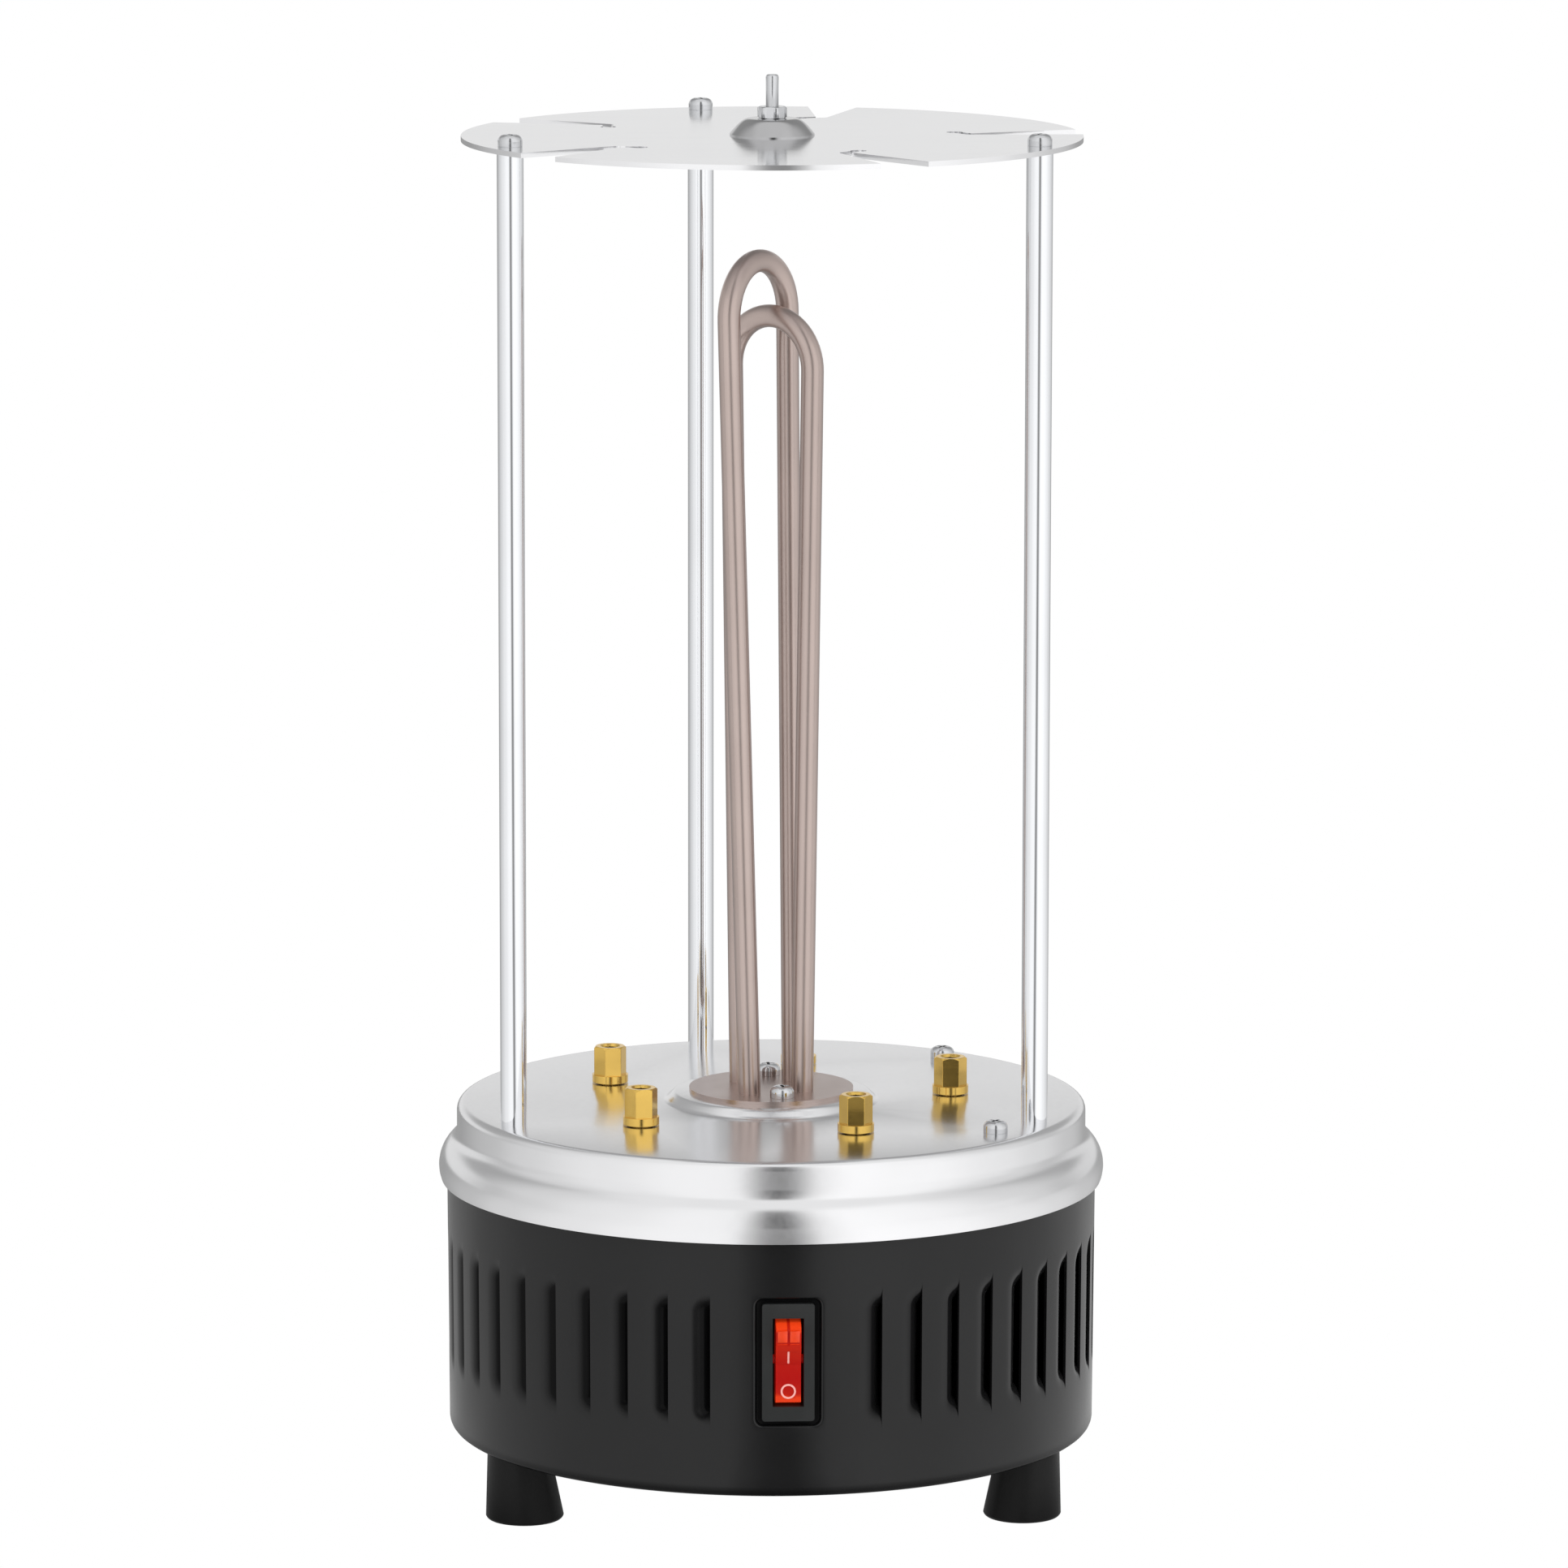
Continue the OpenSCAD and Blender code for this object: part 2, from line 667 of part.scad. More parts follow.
module pan() {
    color([0.86, 0.87, 0.88])
    difference() {
        rotate_extrude($fn = fine) pan_profile();
        for (turn = socket_turns) around(socket_at, turn) sheet_hole(bush_d, pan_top, pan_t);
        for (turn = post_turns) around(post_at, turn) sheet_hole(screw_hole_d, pan_top, pan_t);
        for (turn = carrier_screw_turns) around(carrier_screw_at, turn)
            sheet_hole(screw_hole_d, pan_top, pan_t);
        for (turn = flange_screw_turns) around(flange_screw_at, turn)
            sheet_hole(screw_hole_d, seat_top, pan_t);
        for (leg = leg_places) translate(leg) sheet_hole(tube_d + 2 * leg_fit, seat_top, pan_t);
    }
}

// Feet, tie rods and posts

module foot_shape() {
    bottom_in = foot_h * tan(foot_lean);
    slope = (foot_bottom_d - foot_top_d) / 2 / foot_h;
    blank_r = foot_bottom_d / 2;
    intersection() {
        translate([-bottom_in, 0, 0]) rotate([0, foot_lean, 0]) translate([0, 0, -foot_round])
            cylinder(r1 = blank_r + slope * foot_round, r2 = foot_top_d / 2 - slope * foot_round,
                     h = foot_h + 2 * foot_round);
        translate([-bottom_in, 0, 0]) rotate_extrude() polygon(concat(
            [[0, 0]],
            arc([blank_r - foot_round, foot_round], foot_round, -90, 0),
            [[blank_r + foot_round, foot_round], [blank_r + foot_round, foot_h], [0, foot_h]]));
    }
}

module foot(turn) {
    color([0.07, 0.07, 0.07])
    around(post_at, turn) difference() {
        translate([-foot_in, 0, 0]) foot_shape();
        sheet_hole(screw_hole_d, foot_h, foot_h);
        translate([0, 0, -over]) cylinder(d = foot_recess_d, h = foot_recess_depth + over);
    }
}

module foot_left() { foot(post_turns[0]); }

module foot_right() { foot(post_turns[1]); }

module foot_rear() { foot(post_turns[2]); }

module foot_washers() {
    color("silver")
    for (turn = post_turns) around(post_at, turn, foot_recess_depth - washer_t)
        tube(washer_d / 2, thread_d / 2 + thread_fit, washer_t);
}

module foot_nuts() {
    color("silver")
    for (turn = post_turns) around(post_at, turn, foot_recess_depth - washer_t - nut_h) hex_nut();
}

module tie_rods() {
    color("silver")
    for (turn = post_turns) around(post_at, turn, rod_bottom) cylinder(d = thread_d, h = rod_top - rod_bottom);
}

module post(turn) {
    color([0.85, 0.86, 0.88])
    around(post_at, turn, pan_top) difference() {
        cylinder(d = post_d, h = post_h);
        translate([0, 0, -over]) cylinder(d = tapped_d, h = post_hole_depth + over);
        translate([0, 0, post_h - post_hole_depth]) cylinder(d = tapped_d, h = post_hole_depth + over);
    }
}

module post_left() { post(post_turns[0]); }

module post_right() { post(post_turns[1]); }

module post_rear() { post(post_turns[2]); }

module post_screws() {
    color("silver")
    for (turn = post_turns) around(post_at, turn, plate_top) pan_screw(plate_t + post_hole_depth - thread_room);
}

// Top plate with a hooked slot at each guide hole

module slot_cut() {
    inner = [socket_at + slot_out, -slot_side];
    low = slot_turn - slot_angle / 2;
    high = slot_turn + slot_angle / 2;
    reach = plate_r + plate_t;
    union() {
        // The wedge from the rim to the slot's inner end
        polygon([inner + [0, -channel_w / 2], reach / cos(slot_angle / 2) * [cos(low), sin(low)],
                 reach / cos(slot_angle / 2) * [cos(high), sin(high)], inner + [0, channel_w / 2]]);
        translate(inner) circle(d = channel_w);
        // The hook from there into the guide hole
        polygon([inner + [-channel_w / 2, 0], inner + [channel_w / 2, 0],
                 [socket_at + channel_w / 2, 0], [socket_at - channel_w / 2, 0]]);
        translate([socket_at, 0]) circle(d = guide_d);
    }
}

module top_plate() {
    color([0.88, 0.89, 0.9])
    translate([0, 0, plate_under]) difference() {
        cylinder(r = plate_r, h = plate_t, $fn = fine);
        for (turn = socket_turns) rotate([0, 0, turn]) translate([0, 0, -over])
            linear_extrude(plate_t + 2 * over) slot_cut();
        for (turn = post_turns) around(post_at, turn) sheet_hole(screw_hole_d, plate_t, plate_t);
        sheet_hole(screw_hole_d, plate_t, plate_t);
    }
}

module domed_washer() {
    rise = dome_h - dome_wall;
    color([0.78, 0.79, 0.8])
    translate([0, 0, plate_top]) rotate_extrude() polygon(concat(
        [[dome_d / 2, 0]],
        reversed(soft_step(dome_top_d / 2, dome_h, dome_d / 2, dome_wall)),
        [[thread_d / 2 + hole_fit, dome_h], [thread_d / 2 + hole_fit, rise]],
        soft_step(dome_top_d / 2 - dome_wall, rise, dome_d / 2 - dome_wall, 0)));
}

module centre_nut() {
    color("silver") translate([0, 0, plate_top + dome_h]) rotate([0, 0, centre_nut_turn]) hex_nut();
}

module centre_bolt() {
    color("silver")
    union() {
        translate([0, 0, plate_under]) mirror([0, 0, 1]) pan_screw(plate_t + dome_h + nut_h);
        translate([0, 0, plate_under]) cylinder(d = bolt_end_d, h = plate_t + dome_h + nut_h + bolt_out);
    }
}

// Heater: two crossed loops of sheathed tube in one flange

// Distance of a leg from the loop's middle at the flange
function leg_at(mid_z, bend, splay) = (bend - mid_z * sin(splay)) / cos(splay);
function leg_len(mid_z, bend, splay) = (mid_z - bend * sin(splay)) / cos(splay) + cold_end;

// Places children at the top of a leg, with z along it; side is 1 or -1
module on_leg(mid_z, bend, splay, side) {
    mirror([side > 0 ? 0 : 1, 0, 0]) translate([0, 0, mid_z]) rotate([0, splay, 0]) translate([bend, 0, 0])
        children();
}

module heater_loop(mid_z, bend, splay) {
    union() {
        translate([0, 0, mid_z]) rotate([0, splay, 0]) rotate([90, 0, 0])
            rotate_extrude(angle = 180 + 2 * splay) translate([bend, 0]) circle(d = tube_d);
        for (side = [-1, 1]) on_leg(mid_z, bend, splay, side) mirror([0, 0, 1])
            cylinder(d = tube_d, h = leg_len(mid_z, bend, splay));
    }
}

module place_tall() {
    translate([0, 0, flange_top]) rotate([0, -tall_lean, 0]) rotate([0, 0, tall_turn]) children();
}

module place_short() {
    translate([0, 0, flange_top]) rotate([0, 0, short_turn]) children();
}

// Children at the lower end of each of the four legs, with z along the leg
module at_cold_ends() {
    for (side = [-1, 1]) {
        place_tall() on_leg(tall_mid_z, tall_bend_r, tall_splay, side)
            translate([0, 0, -leg_len(tall_mid_z, tall_bend_r, tall_splay)]) children();
        place_short() on_leg(short_mid_z, short_bend_r, short_splay, side)
            translate([0, 0, -leg_len(short_mid_z, short_bend_r, short_splay)]) children();
    }
}

module heater_loop_tall() {
    color([0.58, 0.5, 0.47]) place_tall() heater_loop(tall_mid_z, tall_bend_r, tall_splay);
}

module heater_loop_short() {
    color([0.58, 0.5, 0.47]) place_short() heater_loop(short_mid_z, short_bend_r, short_splay);
}

module heater_flange() {
    color([0.68, 0.6, 0.57])
    difference() {
        translate([0, 0, seat_top]) cylinder(r = flange_r, h = flange_t);
        at_cold_ends() cylinder(d = tube_d, h = 2 * cold_end);
        for (turn = flange_screw_turns) around(flange_screw_at, turn)
            sheet_hole(screw_hole_d, flange_top, flange_t);
    }
}

module flange_screws() {
    color("silver")
    for (turn = flange_screw_turns) around(flange_screw_at, turn, flange_top)
        pan_screw(flange_t + pan_t + nut_h + thread_out);
}

module flange_nuts() {
    color("silver")
    for (turn = flange_screw_turns) around(flange_screw_at, turn, seat_top - pan_t - nut_h) hex_nut();
}

module heater_beads() {
    color([0.93, 0.91, 0.86])
    at_cold_ends() translate([0, 0, -bead_len]) tube(tube_d / 2, pin_d / 2, bead_len);
}

module heater_pins() {
    color([0.75, 0.74, 0.7])
    at_cold_ends() translate([0, 0, -bead_len - pin_len]) cylinder(d = pin_d, h = bead_len + pin_len);
}

// Carrier plate under the pan, with its bushes, sleeves and screws

module carrier_plate() {
    color([0.7, 0.71, 0.72])
    difference() {
        translate([0, 0, carrier_under]) cylinder(r = carrier_r, h = carrier_t, $fn = fine);
        sheet_hole(2 * (hub_r - hub_wall), carrier_top, carrier_t);
        for (turn = socket_turns) around(socket_at, turn) sheet_hole(bush_d, carrier_top, carrier_t);
        for (turn = post_turns) around(post_at, turn) sheet_hole(screw_hole_d, carrier_top, carrier_t);
        for (turn = carrier_screw_turns) around(carrier_screw_at, turn)
            sheet_hole(screw_hole_d, carrier_top, carrier_t);
        around(pinion_at, pinion_turn) sheet_hole(shaft_d + 2 * bush_flange_out, carrier_top, carrier_t);
        motor_screw_places(0) sheet_hole(tapped_d, carrier_top, carrier_t);
        // Cooling air passes between the spindles, except where the motor hangs
        for (i = [0:socket_count - 1]) if (i != motor_side) for (r = air_hole_at)
            around(r, socket_turns[i] + half_socket_step) sheet_hole(air_hole_d, carrier_top, carrier_t);
    }
}

module carrier_screws() {
    color("silver")
    for (turn = carrier_screw_turns) around(carrier_screw_at, turn, pan_top)
        pan_screw(pan_t + carrier_gap + carrier_t + nut_h + thread_out);
}

module carrier_nuts() {
    color("silver") {
        for (turn = carrier_screw_turns) around(carrier_screw_at, turn, carrier_under - nut_h) hex_nut();
        for (turn = post_turns) around(post_at, turn, carrier_under - nut_h) hex_nut();
    }
}

module spacer_sleeves() {
    color([0.75, 0.76, 0.77]) {
        for (turn = carrier_screw_turns) around(carrier_screw_at, turn, carrier_top)
            tube(sleeve_d / 2, thread_d / 2 + hole_fit, carrier_gap);
        for (turn = post_turns) around(post_at, turn, carrier_top)
            tube(sleeve_d / 2, thread_d / 2 + hole_fit, carrier_gap);
    }
}

module pan_bushes() {
    color([0.72, 0.6, 0.4])
    for (turn = socket_turns) around(socket_at, turn) difference() {
        union() {
            translate([0, 0, pan_under]) cylinder(d = bush_d, h = pan_t);
            translate([0, 0, pan_under - bush_flange_t]) cylinder(d = bush_flange_d, h = bush_flange_t);
        }
        translate([0, 0, pan_under - bush_flange_t - over])
            cylinder(d = spindle_d + 2 * run_fit, h = pan_t + bush_flange_t + 2 * over);
    }
}

module carrier_bushes() {
    bottom = carrier_under - lower_bush_drop;
    color([0.72, 0.6, 0.4])
    for (turn = socket_turns) around(socket_at, turn) difference() {
        union() {
            translate([0, 0, carrier_top]) cylinder(d = bush_flange_d, h = bush_flange_t);
            translate([0, 0, bottom]) cylinder(d = bush_d, h = carrier_top - bottom);
        }
        translate([0, 0, bottom - over])
            cylinder(d = journal_d + 2 * run_fit, h = carrier_top + bush_flange_t - bottom + 2 * over);
    }
}

// Ring gear on its collar

module gear_hub() {
    color([0.7, 0.71, 0.72])
    difference() {
        union() {
            translate([0, 0, carrier_top]) cylinder(r = hub_foot_r, h = hub_foot_t);
            translate([0, 0, carrier_top]) cylinder(r = hub_r, h = hub_top - carrier_top);
        }
        translate([0, 0, carrier_top - over])
            cylinder(r = hub_r - hub_wall, h = hub_top - carrier_top + 2 * over);
        translate([0, 0, ring_clip_bottom]) difference() {
            cylinder(r = hub_r + over, h = ring_clip_t);
            translate([0, 0, -over]) cylinder(r = hub_r - hub_groove, h = ring_clip_t + 2 * over);
        }
    }
}

module hub_clip() {
    color([0.3, 0.3, 0.32])
    translate([0, 0, ring_clip_bottom]) difference() {
        cylinder(r = hub_r + hub_wall, h = ring_clip_t);
        translate([0, 0, -over]) cylinder(r = hub_r - hub_groove, h = ring_clip_t + 2 * over);
        translate([0, -ring_clip_mouth / 2, -over])
            cube([hub_r + 2 * hub_wall, ring_clip_mouth, ring_clip_t + 2 * over]);
    }
}

module ring_gear() {
    color([0.92, 0.9, 0.84])
    difference() {
        union() {
            translate([0, 0, gear_bottom]) linear_extrude(gear_w) gear_outline(sun_teeth);
            translate([0, 0, sun_bottom]) cylinder(r = hub_foot_r, h = sun_top - sun_bottom);
        }
        translate([0, 0, sun_bottom - over]) cylinder(r = hub_r + run_fit, h = sun_top - sun_bottom + 2 * over);
    }
}

// Spindle gears and sockets

module spindle_gear(i) {
    hub_d = bush_flange_d;
    color([0.92, 0.9, 0.84])
    around(socket_at, socket_turns[i]) rotate([0, 0, -socket_turns[i]])
    rotate([0, 0, mesh_turn(socket_turns[i], spindle_teeth)]) difference() {
        union() {
            translate([0, 0, gear_bottom]) linear_extrude(gear_w) gear_outline(spindle_teeth);
            translate([0, 0, journal_shoulder])
                cylinder(d = hub_d, h = pan_under - bush_flange_t - move_gap - journal_shoulder);
        }
        translate([0, 0, journal_shoulder - over]) cylinder(d = spindle_d, h = carrier_gap + 2 * over);
    }
}

module spindle_gear_1() { spindle_gear(0); }

module spindle_gear_2() { spindle_gear(1); }

module spindle_gear_3() { spindle_gear(2); }

module spindle_gear_4() { spindle_gear(3); }

module spindle_gear_5() { spindle_gear(4); }

// A turned brass socket with its spindle, in one piece
module socket(i) {
    bevel = hex_ac / 2 - hex_af / 2;
    bore_bottom = socket_top - socket_bore_depth;
    color([0.85, 0.65, 0.25])
    around(socket_at, socket_turns[i]) rotate([0, 0, hex_turns[i] - socket_turns[i]]) difference() {
        union() {
            intersection() {
                translate([0, 0, collar_bottom + collar_h]) cylinder(d = hex_ac, h = hex_h, $fn = 6);
                rotate_extrude() polygon([[0, collar_bottom], [hex_ac, collar_bottom],
                    [hex_ac, socket_top - hex_ac / 2], [hex_af / 2, socket_top], [0, socket_top]]);
            }
            translate([0, 0, collar_bottom]) cylinder(d = collar_d, h = collar_h);
            translate([0, 0, journal_shoulder]) cylinder(d = spindle_d, h = collar_bottom - journal_shoulder);
            translate([0, 0, clip_top]) cylinder(d = journal_d, h = journal_shoulder - clip_top);
            translate([0, 0, clip_top - clip_t]) cylinder(d = groove_d, h = clip_t);
            translate([0, 0, spindle_end]) cylinder(d = journal_d, h = clip_top - clip_t - spindle_end);
        }
        translate([0, 0, bore_bottom]) cylinder(d = socket_bore_d, h = socket_bore_depth + over);
        translate([0, 0, socket_top - bevel])
            cylinder(d1 = socket_bore_d, d2 = socket_bore_d + 2 * bevel, h = bevel);
        translate([-drive_slot_w / 2, -spindle_d / 3, bore_bottom - drive_slot_depth])
            cube([drive_slot_w, 2 * spindle_d / 3, drive_slot_depth + over]);
    }
}

module socket_1() { socket(0); }

module socket_2() { socket(1); }

module socket_3() { socket(2); }

module socket_4() { socket(3); }

module socket_5() { socket(4); }

// A snap-on clip in the groove at a spindle's lower end
module spindle_clip(i) {
    mouth = groove_d * 0.8;
    color([0.3, 0.3, 0.32])
    around(socket_at, socket_turns[i], clip_top - clip_t) difference() {
        cylinder(d = clip_d, h = clip_t);
        translate([0, 0, -over]) cylinder(d = groove_d, h = clip_t + 2 * over);
        translate([0, -mouth / 2, -over]) cube([clip_d, mouth, clip_t + 2 * over]);
    }
}

module spindle_clip_1() { spindle_clip(0); }

module spindle_clip_2() { spindle_clip(1); }

module spindle_clip_3() { spindle_clip(2); }

module spindle_clip_4() { spindle_clip(3); }

module spindle_clip_5() { spindle_clip(4); }

// Gear motor hanging under the carrier plate

module at_motor(z) {
    around(pinion_at + shaft_offset, pinion_turn, z) children();
}

module motor_screw_places(z) {
    at_motor(z) rotate([0, 0, ear_turn]) for (x = [-1, 1]) translate([x * ear_at, 0, 0]) children();
}

module motor_can() {
    color([0.66, 0.67, 0.68])
    difference() {
        union() {
            at_motor(carrier_under - motor_h) cylinder(d = motor_d, h = motor_h - gearbox_h);
            at_motor(carrier_under - motor_h) cylinder(d = motor_d * gearbox_share, h = motor_h);
            at_motor(carrier_under - ear_t) rotate([0, 0, ear_turn]) linear_extrude(ear_t)
                rounded_rect(2 * ear_at + head_d, head_d + 2 * ear_edge, head_d / 2);
        }
        around(pinion_at, pinion_turn, carrier_under - motor_h / 2)
            cylinder(d = shaft_d + 2 * run_fit, h = motor_h);
        motor_screw_places(0) sheet_hole(screw_hole_d, carrier_under, ear_t);
    }
}

module motor_screws() {
    color("silver")
    motor_screw_places(carrier_under - ear_t) mirror([0, 0, 1]) pan_screw(ear_t + carrier_t);
}

module motor_shaft() {
    color("silver")
    around(pinion_at, pinion_turn, carrier_under - motor_h / 2 + move_gap)
        cylinder(d = shaft_d, h = sun_top - carrier_under + motor_h / 2 - move_gap);
}

module motor_pinion() {
    color([0.85, 0.65, 0.25])
    around(pinion_at, pinion_turn) rotate([0, 0, -pinion_turn])
    rotate([0, 0, mesh_turn(pinion_turn, pinion_teeth)]) difference() {
        translate([0, 0, gear_bottom]) linear_extrude(gear_w) gear_outline(pinion_teeth);
        translate([0, 0, gear_bottom - over]) cylinder(d = shaft_d, h = gear_w + 2 * over);
    }
}

// Rocker switch, drawn in the frame of at_switch

module switch_body() {
    color([0.12, 0.12, 0.13])
    at_switch() difference() {
        union() {
            upright(bezel_t) rounded_rect(bezel_w, bezel_h, bezel_round_r);
            translate([-switch_w / 2, -switch_depth, -switch_h / 2]) cube([switch_w, switch_depth, switch_h]);
            // Sprung catches that hold the switch in its hole
            for (side = [-1, 1]) mirror([0, 0, side > 0 ? 0 : 1])
                translate([-catch_w / 2, 0, switch_h / 2]) rotate([90, 0, 90]) linear_extrude(catch_w)
                polygon([[-housing_wall - hole_fit, 0], [-housing_wall - hole_fit, catch_h], [-catch_l, 0]]);
        }
        translate([-window_w / 2, -rocker_cavity, -window_h / 2])
            cube([window_w, rocker_cavity + bezel_t + over, window_h]);
        translate([0, rocker_pivot_y, 0]) rotate([0, 90, 0])
            cylinder(d = rocker_pin_d + 2 * run_fit, h = window_w + 2 * rocker_pin_l + move_gap, center = true);
    }
}

// At rest the rocker's lower half is pressed in, which is off
module switch_rocker() {
    half = rocker_travel / 2;
    middle = rocker_face / cos(half);
    slope = tan(half);
    rib_from = rocker_r * rocker_rib_from_share;
    rib_to = rocker_r * rocker_rib_to_share;
    color([0.85, 0.1, 0.05])
    at_switch() translate([0, rocker_pivot_y, 0]) rotate([-half, 0, 0]) union() {
        intersection() {
            rotate([90, 0, 90]) linear_extrude(rocker_w, center = true) polygon([
                [-rocker_pin_d, -rocker_r * rocker_back_share],
                [-rocker_pin_d, rocker_r * rocker_back_share],
                [0, rocker_r],
                [middle + (slope - rocker_end_drop_share) * rocker_r, rocker_r],
                [middle + slope * rib_to, rib_to],
                [middle + slope * rib_to + rocker_rib_t, rib_to],
                [middle + slope * rib_from + rocker_rib_t, rib_from],
                [middle + slope * rib_from, rib_from],
                [middle, 0],
                [middle + slope * rocker_r, -rocker_r],
                [0, -rocker_r]]);
            rotate([0, 90, 0]) cylinder(r = rocker_r, h = rocker_w, center = true, $fn = fine);
        }
        rotate([0, 90, 0]) cylinder(d = rocker_pin_d, h = window_w + 2 * rocker_pin_l, center = true);
    }
}

module switch_tabs() {
    color([0.8, 0.72, 0.5])
    at_switch() for (z = [-1, 0, 1])
        translate([-tab_w / 2, -switch_depth - tab_l, z * switch_h / 3 - tab_t / 2])
        cube([tab_w, tab_l, tab_t]);
}

// Terminal block and cable grommet

module terminal_block() {
    cell = block_l / cell_count;
    color([0.85, 0.84, 0.8])
    around(block_at, block_turn, drum_bottom + housing_wall) rotate([0, 0, 90]) difference() {
        translate([-block_l / 2, -block_w / 2, 0]) cube([block_l, block_w, block_h]);
        for (x = [-1, 1]) translate([x * block_screw_x, 0, 0]) {
            sheet_hole(screw_hole_d, block_h, block_h);
            translate([0, 0, block_floor]) cylinder(d = head_d + 4 * hole_fit, h = block_h);
        }
        for (x = [-1, 1]) translate([x * cell / 2, 0, block_h / 2]) rotate([90, 0, 0])
            cylinder(d = cell / 2, h = block_w + 2 * over, center = true);
    }
}

module block_screws() {
    color("silver")
    around(block_at, block_turn, drum_bottom + housing_wall + block_floor) rotate([0, 0, 90])
        for (x = [-1, 1]) translate([x * block_screw_x, 0, 0])
        pan_screw(block_floor + housing_wall + thread_out);
}

// The grommet's own frame: z points out of the drum's rear
module grommet_place() {
    translate([0, drum_bottom_r, drum_bottom + grommet_up]) rotate([-90, 0, 0]) children();
}

module cable_grommet() {
    inner_face = -housing_wall - move_gap;
    color([0.08, 0.08, 0.08])
    grommet_place() difference() {
        union() {
            translate([0, 0, hole_fit / 2])
                cylinder(d1 = grommet_d, d2 = grommet_d - 2 * grommet_bevel, h = grommet_flange_t);
            translate([0, 0, inner_face]) cylinder(d = grommet_neck_d, h = -inner_face + grommet_flange_t);
            translate([0, 0, inner_face - grommet_flange_t]) cylinder(d = grommet_d, h = grommet_flange_t);
        }
        cylinder(d = grommet_bore_d, h = grommet_d, center = true);
    }
}

housing();
pan();
foot_left();
foot_right();
foot_rear();
foot_nuts();
foot_washers();
tie_rods();
post_left();
post_right();
post_rear();
post_screws();
top_plate();
domed_washer();
centre_bolt();
centre_nut();
heater_loop_tall();
heater_loop_short();
heater_flange();
flange_screws();
flange_nuts();
heater_beads();
heater_pins();
carrier_plate();
carrier_screws();
carrier_nuts();
spacer_sleeves();
pan_bushes();
carrier_bushes();
gear_hub();
hub_clip();
ring_gear();
motor_can();
motor_screws();
motor_shaft();
motor_pinion();
socket_1();
socket_2();
socket_3();
socket_4();
socket_5();
spindle_gear_1();
spindle_gear_2();
spindle_gear_3();
spindle_gear_4();
spindle_gear_5();
spindle_clip_1();
spindle_clip_2();
spindle_clip_3();
spindle_clip_4();
spindle_clip_5();
switch_body();
switch_rocker();
switch_tabs();
terminal_block();
block_screws();
cable_grommet();
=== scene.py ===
"""Electric skewer grill: its finishes, the drum, the pan and the small parts around the frame.

Laid out as an add-on and run as a script. Lengths are metres, +Z is up, the switch faces -Y.
"""

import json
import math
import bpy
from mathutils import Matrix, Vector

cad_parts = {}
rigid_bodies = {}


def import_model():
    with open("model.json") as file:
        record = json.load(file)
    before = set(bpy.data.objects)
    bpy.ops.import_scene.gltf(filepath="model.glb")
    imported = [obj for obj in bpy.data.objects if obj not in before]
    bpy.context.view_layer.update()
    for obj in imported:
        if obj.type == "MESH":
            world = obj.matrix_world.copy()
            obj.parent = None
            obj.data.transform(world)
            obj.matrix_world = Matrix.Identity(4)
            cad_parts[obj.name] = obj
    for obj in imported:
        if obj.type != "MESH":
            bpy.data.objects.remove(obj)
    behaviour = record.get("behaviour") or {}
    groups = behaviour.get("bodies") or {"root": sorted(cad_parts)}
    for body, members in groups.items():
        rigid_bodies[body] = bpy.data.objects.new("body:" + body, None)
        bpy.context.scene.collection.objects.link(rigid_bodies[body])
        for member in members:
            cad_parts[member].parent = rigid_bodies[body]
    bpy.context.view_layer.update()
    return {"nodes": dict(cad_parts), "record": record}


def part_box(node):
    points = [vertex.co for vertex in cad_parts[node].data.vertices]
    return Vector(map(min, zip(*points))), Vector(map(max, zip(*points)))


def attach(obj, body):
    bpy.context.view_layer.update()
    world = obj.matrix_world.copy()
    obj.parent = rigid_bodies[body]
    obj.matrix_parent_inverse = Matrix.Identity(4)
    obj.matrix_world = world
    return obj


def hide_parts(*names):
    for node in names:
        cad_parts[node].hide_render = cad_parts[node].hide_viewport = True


bl_info = {
    "name": "Electric Skewer Grill",
    "version": (1, 0, 0),
    "blender": (4, 5, 0),
    "location": "3D View > Sidebar > Grill",
    "description": "Finishes and fine shapes of an electric skewer grill",
    "category": "Object",
}

import bmesh
import bpy
from bpy.props import FloatProperty, FloatVectorProperty, IntProperty, PointerProperty
from bpy.types import Operator, Panel, PropertyGroup
from mathutils import Matrix, Vector

for leftover in list(bpy.data.objects):
    bpy.data.objects.remove(leftover)
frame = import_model()

MM = 0.001
FINISH_PREFIX = "finish_"
BACKDROP_WHITE = 1.0
WHITE = (1, 1, 1, 1)
# How much narrower the drum's radius is at its foot than at its top
DRUM_TAPER = 0.5 * MM
# Places of the Mix node's sockets, for plain values and for colours
MIX_SHARE, MIX_A, MIX_B, MIX_COLOUR_A, MIX_COLOUR_B = 0, 2, 3, 6, 7
MIX_COLOUR_RESULT = 2


# Helpers for meshes


def between(first, last, steps):
    """Even steps from one value to another, with both ends."""
    return [first + (last - first) * k / steps for k in range(steps + 1)]


def quarter_turn(steps):
    """Angles from 0 to a quarter turn, in radians."""
    return [math.radians(angle) for angle in between(0, 90, steps)]


def ring_point(radius, angle, z):
    """A point at a radius and an angle in degrees about the upright axis."""
    turn = math.radians(angle)
    return Vector((radius * math.cos(turn), radius * math.sin(turn), z))


def arc(middle, radius, first, last, steps):
    """Points on an arc between two angles in degrees, as (outwards, up)."""
    turns = [math.radians(angle) for angle in between(first, last, steps)]
    return [(middle[0] + radius * math.cos(turn), middle[1] + radius * math.sin(turn))
            for turn in turns]


